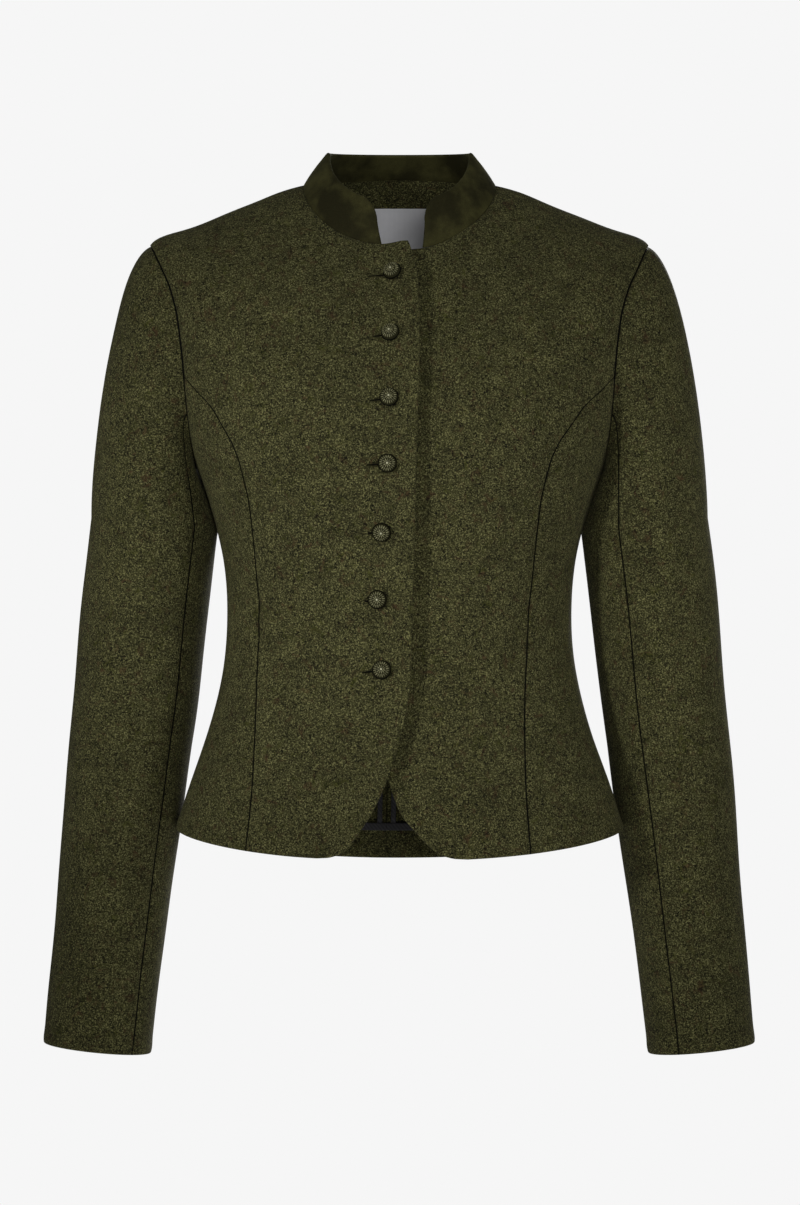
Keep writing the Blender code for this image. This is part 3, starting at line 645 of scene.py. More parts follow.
wool = heathered_wool("Brushed heathered wool")
print("made", wool.name)

# %% [markdown]
# The collar is cotton velvet: a short, dense pile stands on a woven ground. Light falls into the
# pile, so its face is almost black, and only where one looks along the pile does a soft green
# light come back. A strong, fairly narrow sheen over a very dark base gives that. The pile leans
# this way and that where it was handled, and the soft patches where it catches the light are
# painted sheen: a noise makes the base colour lighter and darker.

# %% Cotton velvet
def cotton_velvet():
    finish, tree, shader = new_finish("Cotton velvet")
    place = places(tree)
    # painted sheen: the pile's lean is real, and its lighter patches where it catches the light
    # are painted into the base colour
    pile_sheen_patches = noise(tree, place, 30, Detail=3.0, Roughness=0.6)
    pile = noise(tree, place, 0.9, Detail=2.0, Roughness=0.6)
    colour = mixed(tree, mask(tree, pile_sheen_patches, 0.38, 0.68), "#282614", "#454325")
    complete(tree, shader, shaded(tree, colour, pile, 0.8, 1.2), raised(tree, pile, 0.25, 0.3),
             Roughness=0.9, Specular_IOR_Level=0.1, Sheen_Weight=0.3, Sheen_Roughness=0.35,
             Sheen_Tint=linear("#9a9a70"))
    return finish


velvet = cotton_velvet()
print("made", velvet.name)

# %% [markdown]
# Three small finishes remain. The label is woven polyester satin, whose floating threads give a
# soft silver sheen. The seams inside are bound with black cotton tape in a fine twill. The
# buttons and seams have cotton threads in a few shades, each strand a little off its neighbours;
# the near-black one is painted shade, drawn in the seams' grooves, round the buttons' rims and in
# the buttonholes' slits.

# %% Satin, tape and thread
def ribbed_cloth(name, dark, pale, rib_mm, roughness, direction):
    """A fine cloth whose threads show as ribs, drawn no finer than the render can show."""
    finish, tree, shader = new_finish(name)
    place = places(tree)
    ribs = add_node(tree, "ShaderNodeTexWave", {
        "bands_direction": direction, "Scale": per_metre(rib_mm) / (2 * math.pi),
        "Distortion": 0.6, "Detail": 1.0}, {"Vector": place}).outputs["Fac"]
    slubs = noise(tree, place, 7, Detail=4.0, Roughness=0.6)
    both = add_node(tree, "ShaderNodeMath", {"operation": "MULTIPLY"}, {0: ribs, 1: slubs})
    complete(tree, shader, mixed(tree, both.outputs["Value"], dark, pale),
             raised(tree, ribs, 0.3, 0.1), Roughness=roughness, Sheen_Weight=0.1)
    return finish


def wound_thread(name, dark, pale, gloss):
    """Cotton thread, with a shade of its own for each strand."""
    finish, tree, shader = new_finish(name)
    strand = add_node(tree, "ShaderNodeNewGeometry", {}).outputs["Random Per Island"]
    spun = noise(tree, places(tree), 0.4, Detail=1.0)
    complete(tree, shader, mixed(tree, strand, dark, pale), raised(tree, spun, 0.4, 0.1),
             Roughness=0.6, Specular_IOR_Level=gloss)
    return finish


satin = ribbed_cloth("Woven polyester satin", "#dcdce0", "#f6f6f8", 0.5, 0.38, "X")
tape = ribbed_cloth("Black cotton twill tape", "#151416", "#3d3b3f", 0.8, 0.75, "DIAGONAL")
thread = wound_thread("Mercerised cotton thread", "#5f5e40", "#9a9870", 0.4)
pale_thread = wound_thread("Straw cotton thread", "#b3b08c", "#c9c7a4", 0.5)
covering_thread = wound_thread("Dark green covering thread", "#2b2a17", "#3b3a22", 0.1)
# near-black thread that paints shade: in the seams' grooves, round the buttons' rims and in the
# buttonholes' slits
painted_shade_thread = wound_thread("Near-black thread, painted shade", "#050502", "#0e0d06", 0.05)
twist = wound_thread("Matt buttonhole twist", "#26250f", "#3a3921", 0.1)
for finish in (satin, tape, thread, pale_thread, covering_thread, painted_shade_thread, twist):
    print("made", finish.name)

# %% [markdown]
# The body is cut in six panels: two fronts, two sides under the arms and two backs, with curved
# seams that run from the hem into the armhole and take the waist in. A panel's grid follows the
# body's rings, with close rows and columns near its edges for the finish there.

# %% Rows, columns and edges of a panel
CELL = 3.2


def spread(length, cell=CELL):
    """Distances from 0 to length, close together at both ends."""
    middle = np.linspace(MARGIN[-1], length - MARGIN[-1], max(int(length / cell), 3))
    places = np.concatenate((MARGIN, middle, length - np.array(MARGIN)))
    return np.unique(np.round(places, 4))


def panel_grid(side, heights, start, end):
    """A grid on the body from the angles start to the angles end, a row for each height."""
    first, last = body_points(side, start, heights), body_points(side, end, heights)
    width = np.linalg.norm(last - first, axis=-1).max()
    angle = start[:, None] + (end - start)[:, None] * spread(width) / width
    return body_grid(side, angle, heights[:, None])


def outer_side(side, heights, join, end, seam):
    """The angle of a panel's side edge: curved seam, armhole, then shoulder seam."""
    armhole_angle = angle_of_line(side, heights, end, armhole_x)
    angle = np.where(heights < armhole_height(join), seam(side, heights), armhole_angle)
    return np.where(heights < ARMHOLE_HIGH, angle, 0.0)


def panel_heights(join):
    """Heights of a panel's rows, with one at each end of the armhole's edge."""
    ends = (float(armhole_height(join)), ARMHOLE_HIGH)
    return np.unique(np.concatenate((spread(NECK), ends)))


# %% [markdown]
# The right front laps over the left one. Its edge is turned under and lifts a little from what
# lies beneath it, which is what draws the long shadow beside it in the photograph. The left front
# dips below it by the cloth's thickness and rises again where it comes out.

# %% The fronts
LAP_LIFT, LAP_LIFT_REACH, LAP_SETTLING = 7.0, 17.0, 60.0
LAP_GAP, LAP_CLEAR, UNDERLAP_REACH = 2.4, 21.0, 32.0


def front_grid(side):
    heights = panel_heights(FRONT_JOIN)
    start = front_edge(side, heights)
    end = outer_side(side, heights, FRONT_JOIN, CENTRE_FRONT, front_seam)
    return panel_grid(side, heights, start, end)


def lap_lift(points):
    """How far the lap's edge stands off, and less towards the collar, which holds it down."""
    distance = distances(points, 1)[0]
    settled = np.clip((NECK - distances(points, 0)[0]) / LAP_SETTLING, 0, 1)
    return LAP_LIFT * np.exp(-(distance / LAP_LIFT_REACH) ** 2) * settled


def under_the_lap(points):
    """How deep the left front lies beneath the lap."""
    part = np.clip((points[..., 0] - LAP_CLEAR) / UNDERLAP_REACH, 0, 1)
    return (CLOTH + LAP_GAP) * (1 - part * part * (3 - 2 * part))


def along_edge(grid, column):
    """The first or last column of a grid, for the seam that is sewn there."""
    return grid[0][:, column], grid[1][:, column]


hands = {RIGHT: "right", LEFT: "left"}
body_seams, sleeve_seams = [], []
for side, hand in hands.items():
    grid = front_grid(side)
    body_seams.append(along_edge(grid, column=-1))
    sunk = -lap_lift(grid[0]) if side == RIGHT else under_the_lap(grid[0])
    panel = cloth_shell(f"wool_front_{hand}", grid, ("fold", "seam", "fold", "seam"), wool,
                        sunk=sunk)
    dress(panel, f"front_{hand}", grid[0])

# %% [markdown]
# The backs meet in a seam down the middle. The side panels reach from seam to seam under the arm
# and end at the bottom of the armhole, so their rows bend from the level hem to that curve.

# %% The backs and sides
SIDE_AROUND, SIDE_UP = 150.0, 300.0


def back_grid(side):
    heights = panel_heights(BACK_JOIN)
    start = outer_side(side, heights, BACK_JOIN, CENTRE_BACK, back_seam)
    return panel_grid(side, heights, start, centre_back(side, heights))


def side_grid(side):
    first, last = FRONT_JOIN, FULL_ROUND - BACK_JOIN
    around = spread(SIDE_AROUND) / SIDE_AROUND
    top_angle, top_height = armhole_place(side, first + (last - first) * around)
    upward = (spread(SIDE_UP) / SIDE_UP)[:, None]
    start = front_seam(side, upward * top_height[0])
    end = back_seam(side, upward * top_height[-1])
    straight = (1 - around) * top_angle[0] + around * top_angle[-1]
    angle = (1 - around) * start + around * end + upward * (top_angle - straight)
    return body_grid(side, angle, upward * top_height)


for side, hand in hands.items():
    grid = back_grid(side)
    body_seams += [along_edge(grid, column=0), along_edge(grid, column=-1)]
    panel = cloth_shell(f"wool_back_{hand}", grid, ("fold", "seam", "seam", "seam"), wool)
    dress(panel, f"back_{hand}", grid[0])
    grid = side_grid(side)
    panel = cloth_shell(f"wool_side_{hand}", grid, ("fold", "seam", "seam", "seam"), wool)
    dress(panel, f"side_{hand}", grid[0])

# %% [markdown]
# A tailored sleeve has two pieces, an upper and an under one, and bends forward with the arm. Its
# cap rises from the armhole and turns down over the shoulder. Each lengthwise line of the cap is
# a curve with a set direction at both ends, so it leaves the seam at a slant and flows into the
# straight part below.

# %% The sleeves' form
SLEEVES = np.array([
    # level, middle_x, middle_y, half_width, half_depth
    (-671, 235.8, 6, 41.5, 43), (-587, 227.8, 16, 43.3, 46), (-524, 221.0, 21, 44.9, 49),
    (-462, 214.2, 22, 47.0, 52), (-399, 207.2, 19, 48.4, 55), (-321, 200.0, 13, 48.3, 57),
    (-262, 193.0, 8, 47.7, 58),
], dtype=float)
UPPER_ARM, CUFF = -262.0, -671.0
# How the cap leaves the armhole, at the shoulder and under the arm: its slant away from the body,
# in degrees, and its pull, like that of its far end, as a share of the way between.
CAP_SLANT, CAP_PULL, CAP_END_PULL = (46.0, 48.0), (0.40, 0.30), 0.9
# How far the sleeve's edge is tucked under the body's at the armhole, across it and into it.
TUCK_UNDER, TUCK_IN = 0.1, 1.5
# How far the upper arm fills the sleeve towards the body, and the level where that ends.
ARM_PRESSED, PRESSED_TO = 3.4, -430.0
SLEEVE_TILT = math.tan(math.radians(5.9))
SLEEVE_FRONT_TURN = {RIGHT: 134.0, LEFT: 119.0}
SLEEVE_BACK_TURN = 256.0
sleeve_curves = [curve(SLEEVES, column, flowing_slopes) for column in range(SLEEVES.shape[1])]


def arm_points(side, turn, level):
    """Points below the cap: turn is 0 outside, 90 in front and 180 inside."""
    _, middle_x, middle_y, half_width, half_depth = [column(level) for column in sleeve_curves]
    pressed = ARM_PRESSED * np.clip((level - PRESSED_TO) / (UPPER_ARM - PRESSED_TO), 0, 1)
    across = np.cos(np.radians(turn))
    across = across * (half_width + np.where(across < 0, pressed, 0.0))
    points = (side * (middle_x + across), middle_y - half_depth * np.sin(np.radians(turn)),
              level + across * SLEEVE_TILT)
    return np.stack(np.broadcast_arrays(*points), axis=-1)


def armhole_frame(side, step):
    """The armhole's points, the body's normals there and the way out across its edge."""
    place = armhole_place(side, step)
    along = (body_points(side, *armhole_place(side, step + PART_STEP))
             - body_points(side, *armhole_place(side, step - PART_STEP)))
    normal = body_normals(side, *place)
    return body_points(side, *place), normal, unit(side * np.cross(normal, along))


def cap_points(side, step, turn, part):
    """Points of the cap; step, turn and part are grids, and step is the same in each row."""
    start, normal, outward = armhole_frame(side, step[0])
    start = start - outward * TUCK_UNDER - normal * TUCK_IN
    end = arm_points(side, turn, UPPER_ARM)
    reach = np.linalg.norm(end - start, axis=-1, keepdims=True)
    under = ((1 - np.cos(np.radians(turn))) / 2)[..., None]
    slant = np.radians(CAP_SLANT[0] + (CAP_SLANT[1] - CAP_SLANT[0]) * under ** 2)
    pull = reach * (CAP_PULL[0] + (CAP_PULL[1] - CAP_PULL[0]) * under)
    leave = (outward * np.cos(slant) + normal * np.sin(slant)) * pull
    arrive = unit(end - arm_points(side, turn, UPPER_ARM + 1)) * reach * CAP_END_PULL
    part = part[..., None]
    return (start * (1 + 2 * part) * (1 - part) ** 2 + leave * part * (1 - part) ** 2
            + end * part ** 2 * (3 - 2 * part) + arrive * part ** 2 * (part - 1))


# %% [markdown]
# Upper and under sleeve share one grid of lines round the arm, cut at the two seams. The lines
# leave the armhole in its own steps and turn, fastest at first, to where the cuff has them.

# %% The sleeves
STEP_MM = 10.5
CAP_ROWS, CAP_LENGTH, ARM_CELL = 46, 160.0, 3.6


def sleeve_points(side, first, last):
    """The grid of one piece of a sleeve, from its armhole step first to its step last."""
    step = first + spread((last - first) * STEP_MM) / STEP_MM
    cap = np.unique(np.concatenate((np.array(MARGIN) / CAP_LENGTH, np.linspace(0, 1, CAP_ROWS))))
    arm = spread(UPPER_ARM - CUFF, ARM_CELL)
    down = np.concatenate((cap, np.zeros(len(arm) - 1) + 1))[:, None]
    level = np.concatenate((np.full(len(cap), UPPER_ARM), UPPER_ARM - arm[1:]))[:, None]
    wrapped = np.mod(step, FULL_ROUND)[None, :]
    joins = (0, SLEEVE_FRONT_JOIN, FULL_ROUND - BACK_JOIN, FULL_ROUND)
    at_cuff = np.interp(wrapped, joins, (0, SLEEVE_FRONT_TURN[side], SLEEVE_BACK_TURN, 360))
    turn = at_cuff + (1 - down) ** 2 * (wrapped * 360 / FULL_ROUND - at_cuff)
    steps = np.broadcast_to(wrapped, turn.shape)
    points = cap_points(side, steps, turn, np.broadcast_to(down, turn.shape))
    below = np.broadcast_to(level < UPPER_ARM, turn.shape)[..., None]
    return np.where(below, arm_points(side, turn, level), points)[::-1]


for side, hand in hands.items():
    for part, first, last in (("upper", -BACK_JOIN, SLEEVE_FRONT_JOIN),
                              ("under", SLEEVE_FRONT_JOIN, FULL_ROUND - BACK_JOIN)):
        grid = with_normals(sleeve_points(side, first, last), -side)
        if part == "upper":
            sleeve_seams += [along_edge(grid, column=0), along_edge(grid, column=-1)]
        piece = cloth_shell(f"wool_{part}_sleeve_{hand}", grid,
                            ("fold", "set_in", "seam", "seam"), wool)
        dress(piece, f"{part}_sleeve_{hand}", grid[0])

# %% [markdown]
# The stand collar is one band of velvet over a firm interlining, so it is thicker than the wool
# and its edges are round and full. It leans inwards as the neck does, and its two front ends
# stop short of each other, with their upper corners rounded.

# %% The collar
COLLAR_TOP = (0, 55.5, 2, 28.3, -58, -15, 47, 31, 2.25, 1.05)
# Where the front ends lie, at the foot and at the top.
COLLAR_ENDS_X = {RIGHT: (13.8, 18.7), LEFT: (18.3, 19.5)}
COLLAR_CLOTH, COLLAR_RISE, COLLAR_CORNER, COLLAR_BOW = 3.0, 32.0, 12.0, 1.2
COLLAR_FOOT, COLLAR_LENGTH, COLLAR_CELL, COLLAR_ROW = -0.03, 400.0, 2.4, 1.8
neck_ring = [float(column(NECK)) for column in ring_curves]


def end_turn(side, ring, wanted):
    angle = crossing(lambda at: side * ring_points(ring, side, at)[..., 0] - wanted,
                     np.array(CENTRE_FRONT), np.array(0.0))
    return side * (90 - float(angle))


collar_ends = []
for side, (low_x, high_x) in COLLAR_ENDS_X.items():
    collar_ends.append((end_turn(side, neck_ring, low_x), end_turn(side, COLLAR_TOP, high_x)))


def collar_points(over, part):
    """Points of the band: over runs from its right end to its left one, part from foot to top."""
    start, end = [low + (high - low) * part for low, high in collar_ends]
    turn = start + (end - start) * over
    side, angle = np.where(turn < 0, RIGHT, LEFT), 90 - np.abs(turn)
    low, high = ring_points(neck_ring, side, angle), ring_points(COLLAR_TOP, side, angle)
    bow = unit(low * (1, 1, 0)) * (COLLAR_BOW * 4 * part * (1 - part))[..., None]
    sunk = np.where((side == LEFT) & (angle < 0), under_the_lap(low) * (1 - part) ** 2, 0.0)
    sunk = body_normals(side, angle, NECK + 0 * angle) * sunk[..., None]
    return low + (high - low) * part[..., None] + bow - sunk


over = spread(COLLAR_LENGTH, COLLAR_CELL) / COLLAR_LENGTH
from_start, from_end = distances(collar_points(over, np.ones_like(over))[None], 1)
in_corner = np.clip(COLLAR_CORNER - np.minimum(from_start, from_end), 0, None)[0]
cut = COLLAR_CORNER - np.sqrt(COLLAR_CORNER ** 2 - in_corner ** 2)
rise = COLLAR_FOOT + (1 - COLLAR_FOOT) * spread(COLLAR_RISE, COLLAR_ROW)[:, None] / COLLAR_RISE
points = collar_points(over[None, :] + 0 * rise, rise * (1 - cut / COLLAR_RISE))
band = cloth_shell("velvet_collar", with_normals(points, RIGHT),
                   ("cut", "rolled", "rolled", "rolled"), velvet, COLLAR_CLOTH, plain=True)
dress(band, "collar", points)

# %% [markdown]
# Inside the back of the neck lies a facing of the same wool, and on it a label. Here the label is
# blank satin, sewn down along its top and sides.

# %% The neck facing and the label
FACING_DEPTH, FACING_END, FACING_SUNK = 142.0, 9.0, 3.4
LABEL_WIDTH, LABEL_DEPTH, LABEL_TOP, LABEL_X, LABEL_SUNK = 70.0, 45.0, -8.0, 1.0, 5.0
LABEL_TURN, LABEL_HEIGHT = 0.7, 560.0  # degrees a millimetre, and height, to search from
THIN_CLOTH, FACING_COLUMNS, LABEL_CELL = 1.0, 90, 1.5

turn = np.linspace(FACING_END - 90, 90 - FACING_END, FACING_COLUMNS)[None, :]
side_of, angle = np.where(turn < 0, RIGHT, LEFT), 90 - np.abs(turn)
part = spread(FACING_DEPTH)[:, None] / FACING_DEPTH
height = NECK - 1 - part * FACING_DEPTH * np.sqrt(np.sin(np.radians(angle)))
points, normals = body_grid(side_of + 0 * height, angle, height)
facing = cloth_shell("wool_neck_facing", (points, normals), ("cut",) * 4, wool,
                     thickness=THIN_CLOTH, sunk=FACING_SUNK)
dress(facing, "back_neck_facing", points)

x = LABEL_X - LABEL_WIDTH / 2 + spread(LABEL_WIDTH, LABEL_CELL)[None, :]
z = LABEL_TOP - spread(LABEL_DEPTH, LABEL_CELL)[:, None]
angle, height = place_on(LEFT, x + 0 * z, z + 0 * x, CENTRE_BACK - x * LABEL_TURN + 0 * z,
                         LABEL_HEIGHT + 0 * (x + z))
points, normals = body_grid(LEFT, angle, height)
label = cloth_shell("satin_label", (points, normals), ("fold",) * 4, satin,
                    thickness=THIN_CLOTH, sunk=LABEL_SUNK, plain=True)
dress(label, "label", points)

# %% [markdown]
# The hem of the back is turned up inside and its raw edge is bound with tape, as are the edges of
# the seam allowances beside the centre back seam. They show through the gap between the fronts.

# %% The hem and the bound seam
TURN_UP, BINDING, ALLOWANCE, FROM_SEAM = 23.0, 5.0, 7.5, 0.3
SEAM_BINDING = 4.0
LAYER_1, LAYER_2 = 2.8, 4.4
HEM_ROWS, STRIP_ROWS, STRIP_COLUMNS = 12, 120, 7


def hem_grid(side, low, high):
    heights = np.linspace(low, high, HEM_ROWS)
    return panel_grid(side, heights, back_seam(side, heights), centre_back(side, heights))


def strip_grid(side, near, far):
    heights = np.linspace(TURN_UP, NECK - FACING_DEPTH - BINDING, STRIP_ROWS)
    offs = np.linspace(far, near, STRIP_COLUMNS)
    angle = np.stack([centre_back(side, heights, off) for off in offs], axis=1)
    return body_grid(side, angle, heights[:, None])


for side, hand in hands.items():
    strips = (
        ("wool_turn_up", "hem_turn_up", hem_grid(side, 0.0, TURN_UP), LAYER_1, wool),
        ("tape_hem", "hem_binding", hem_grid(side, TURN_UP - BINDING, TURN_UP), LAYER_2, tape),
        ("wool_allowance", "seam_allowance", strip_grid(side, FROM_SEAM, ALLOWANCE),
         LAYER_1, wool),
        ("tape_seam", "seam_binding", strip_grid(side, ALLOWANCE - SEAM_BINDING, ALLOWANCE),
         LAYER_2, tape),
    )
    for name, node, grid, sunk, finish in strips:
        strip = cloth_shell(f"{name}_{hand}", grid, ("cut",) * 4, finish,
                            thickness=THIN_CLOTH, sunk=sunk)
        dress(strip, f"{node}_{hand}", grid[0])

# %% [markdown]
# A thread button is a mould covered with dark thread. Over it lie two tiers of short, paler
# stitches, like the rays of a sun, with a knot in the middle, and a cord goes round the rim, near
# black, so that it paints the rim's shadow.
# Each stitch is a thin tube on the dome, so the light picks it out as it does the real one.

# %% The buttons' form
BUTTONS = ((-4.7, -73), (-6.4, -120), (-7.9, -169), (-9.1, -218), (-13.5, -269.5),
           (-16.7, -321), (-13.3, -375))
BUTTON_RADIUS, BUTTON_DOME, BUTTON_RIM, SHANK_RADIUS, SHANK_RISE = 7.3, 4.6, 1.3, 1.9, 2.2
BUTTON_GAP = 0.4
# How far the mould lies in from the rim and below the top, to leave room for the thread.
MOULD_IN, MOULD_DOWN = 0.7, 0.5
MOULD_TOP = SHANK_RISE + BUTTON_RIM + BUTTON_DOME - MOULD_DOWN
CLOSED = 0.05  # the radius at which a turned shape is closed
UNDERSIDE = ((BUTTON_RADIUS - 0.9, SHANK_RISE + 0.4), (BUTTON_RADIUS - 2.0, SHANK_RISE),
             (SHANK_RADIUS, SHANK_RISE - 0.3), (SHANK_RADIUS, 0.0), (CLOSED, 0.0))
# The strands' tiers: how many, where each starts and ends over the dome, and their radius.
TIERS = ((11, 0.12, 0.34, 0.30), (20, 0.40, 0.68, 0.36))
STRAND_STEPS, STRAND_ENDS, DOME_ROWS = 7, (0.15, 0.85), 12
# The cord: its strands, their radius and turns, how far they wind, and where its middle lies.
CORD_STRANDS, CORD_THICK, CORD_TURNS, CORD_WOUND, CORD_IN, CORD_UP = 3, 0.34, 14, 0.3, 0.6, 0.5
CORD_STEPS, KNOT_SIDES = 73, 12
KNOT = ((CLOSED, 0.8), (0.5, 0.65), (0.8, 0.3), (0.85, 0.0), (CLOSED, -0.2))


def ring_faces(rings, sides):
    """Faces that join rings of points to a closed shape."""
    faces = []
    for row in range(rings - 1):
        for at in range(sides):
            after = (at + 1) % sides
            faces.append((row * sides + at, (row + 1) * sides + at,
                          (row + 1) * sides + after, row * sides + after))
    faces.append(tuple(range(sides)))
    faces.append(tuple(range((rings - 1) * sides, rings * sides))[::-1])
    return faces


def tube(path, radii, sides=6):
    """The points and faces of a closed tube along a path."""
    along = unit(np.gradient(path, axis=0))
    guide = np.where(np.abs(along[:, 2:]) > 0.9, (1.0, 0, 0), (0, 0, 1.0))
    across = unit(np.cross(along, guide))
    up = np.cross(across, along)
    turns = np.linspace(0, 2 * np.pi, sides, endpoint=False)
    rings = path[:, None] + np.asarray(radii)[:, None, None] * (
        across[:, None] * np.cos(turns)[:, None] + up[:, None] * np.sin(turns)[:, None])
    return rings.reshape(-1, 3), ring_faces(len(path), sides)


def turned(profile, sides=48):
    """The points and faces of a turned shape, from a profile of radii and heights."""
    turns = np.linspace(0, 2 * np.pi, sides, endpoint=False)
    profile = np.array(profile, float)
    rings = np.stack((profile[:, :1] * np.cos(turns), profile[:, :1] * np.sin(turns),
                      profile[:, 1:] + 0 * turns), axis=-1)
    return rings.reshape(-1, 3), ring_faces(len(profile), sides)


def joined(shapes):
    """Several (points, faces) as one."""
    points, faces, count = [], [], 0
    for shape_points, shape_faces in shapes:
        points.append(shape_points)
        faces += [tuple(index + count for index in face) for face in shape_faces]
        count += len(shape_points)
    return np.concatenate(points), faces


def add_parts(name, parts, finishes):
    """One piece of several (points, faces), each in its own finish."""
    points, faces = joined(parts)
    made = add_mesh(name, points, faces, finishes[0])
    for finish in finishes[1:]:
        made.data.materials.append(finish)
    which = np.repeat(np.arange(len(parts)), [len(part[1]) for part in parts])
    made.data.polygons.foreach_set("material_index", which.astype(np.int32))
    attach(made, "root")
    return made


# %% [markdown]
# The same tubes draw the seams. In each groove, where the sewing thread lies, runs a near-black
# tube: painted shade that draws the groove's shadow, cast by the allowance behind it, as a dark
# line. It closes the seam to light as the real stitching does.

# %% Painted shade in the seams' grooves
ARMHOLE_STITCHES, ARMHOLE_OUT = 161, 0.45
# The shade tubes' radius and how deep they lie, in the body's and sleeves' seams and in the
# armholes'.
IN_SEAMS, IN_ARMHOLES, THREAD_SIDES = (0.5, 0.75), (0.6, 0.35), 5
armhole_seams = []
for side in hands:
    start, normal, outward = armhole_frame(side, np.linspace(0, FULL_ROUND, ARMHOLE_STITCHES))
    armhole_seams.append((start + outward * ARMHOLE_OUT, normal))
threads = []
for seams, (thick, depth) in ((body_seams + sleeve_seams, IN_SEAMS),
                              (armhole_seams, IN_ARMHOLES)):
    for points, normals in seams:
        path = uneven((points, normals)) - normals * depth
        threads.append(tube(path, np.full(len(path), thick), THREAD_SIDES))
# the tubes are painted shade: near-black lines for the shadow in each seam's groove
add_parts("painted_shade_seams", [joined(threads)], [painted_shade_thread])
print(len(threads), "seams sewn")

# %% [markdown]
# One button is made facing up. Each of the seven is a copy of it, turned to face as the lap does
# at its place, with the small tilt that a sewn button has.

# %% The buttons
def dome_point(turn, out, lift=0.0):
    """A point over the dome; out runs from 0 at its middle to 1 at its rim."""
    bend = out * math.pi / 2
    radius = (BUTTON_RADIUS - MOULD_IN + lift) * math.sin(bend)
    return (radius * math.cos(turn), radius * math.sin(turn),
            SHANK_RISE + BUTTON_RIM + (BUTTON_DOME - MOULD_DOWN + lift) * math.cos(bend))


def button_shapes():
    """The mould with its shank, the cord, the strands and the knot of a button that faces up."""
    profile = [(CLOSED, MOULD_TOP)]
    for out in np.linspace(0.1, 1, DOME_ROWS):
        x, _, z = dome_point(0, out)
        profile.append((x, z))
    core = turned((*profile, *UNDERSIDE))
    strands = []
    for count, low, high, thick in TIERS:
        for strand in range(count):
            around = 2 * math.pi * (strand + 0.5) / count
            outs = np.linspace(low, high, STRAND_STEPS)
            path = np.array([dome_point(around, out, thick * 0.5) for out in outs])
            radii = thick * np.sin(np.linspace(*STRAND_ENDS, STRAND_STEPS) * np.pi) ** 0.5
            strands.append(tube(path, radii))
    turns = np.linspace(0, 2 * np.pi, CORD_STEPS)
    cords = []
    for strand in range(CORD_STRANDS):
        winding = turns * CORD_TURNS + strand * 2 * math.pi / CORD_STRANDS
        radius = BUTTON_RADIUS - CORD_IN + CORD_WOUND * np.cos(winding)
        cord = np.stack((radius * np.cos(turns), radius * np.sin(turns),
                         SHANK_RISE + CORD_UP + CORD_WOUND * np.sin(winding)), axis=1)
        cords.append(tube(cord, np.full(len(turns), CORD_THICK)))
    knot, knot_faces = turned(KNOT, KNOT_SIDES)
    return core, joined(cords), joined(strands), (knot + (0, 0, MOULD_TOP), knot_faces)


# How far each button faces towards the wearer's left and upwards, in degrees.
BUTTON_TILTS = ((-22, 2), (-15, 6), (-5, 5), (-4, 5), (-3, 3), (0, 4), (-2, 5))
NEAR_THE_LAP = (-88.0, 290.0)  # an angle and a height to start the search from
button_parts = button_shapes()


def on_the_lap(x, z):
    """Points and normals on the right front, near the edge that stands off."""
    first_angle, first_height = NEAR_THE_LAP
    angle, height = place_on(RIGHT, x, z, 0 * x + first_angle, 0 * x + first_height)
    grid = body_grid(RIGHT, angle, height)
    lift = LAP_LIFT * np.exp(-((lap_x(height) - x) / LAP_LIFT_REACH) ** 2)
    return uneven(grid) + grid[1] * lift[..., None], grid[1]


seats, normals = on_the_lap(*np.array(BUTTONS).T)
for number, (seat, normal, tilt) in enumerate(zip(seats, normals, BUTTON_TILTS), start=1):
    aside, upward = tilt
    facing = Vector(normal).to_track_quat("Z", "Y").to_matrix()
    lifted = Matrix.Rotation(math.radians(-upward), 3, "X")
    turn_by = np.array(Matrix.Rotation(math.radians(aside), 3, "Z") @ lifted @ facing)
    placed = [(points @ turn_by.T + seat + normal * BUTTON_GAP, faces)
              for points, faces in button_parts]
    # the cord's near-black thread is painted shade, the shadow ring round the rim
    button = add_parts(f"thread_button_{number}", placed,
                       [covering_thread, painted_shade_thread, thread, pale_thread])
    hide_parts(f"button_{number}")
print(len(BUTTONS), "buttons of", sum(len(part[1]) for part in button_parts), "faces each")

# %% [markdown]
# The buttonholes run level from under each button towards the wearer's right. Each is a slit
# with its two lips oversewn close together, in thread that matches the cloth; the opening between
# them is a near-black tube of painted shade.

# %% The buttonholes
HOLE_ENDS_X = (-24.0, -20.3, -22.2, -24.6, -24.2, -26.9, -28.5)
LIP_MM, STITCH_MM, STITCH_RADIUS, STITCH_SIDES, SLIT_SIDES = 0.8, 0.5, 0.225, 5, 8
# A stitch's three points: how far out from the slit, and how high.
STITCH = ((0.0, -0.1), (0.2, 0.25), (LIP_MM, -0.2))
SLIT_UP, SLIT_WIDER, HOLE_DROP = 0.2, 0.15, 1.0
# A hole's start and height against the middle of its button.
HOLE_START_X, HOLE_Z = -3.0, -0.5
LEAST_OPEN, MOST_OPEN, OPEN_AT, OPEN_REACH = 0.15, 1.3, 5.0, 3.2


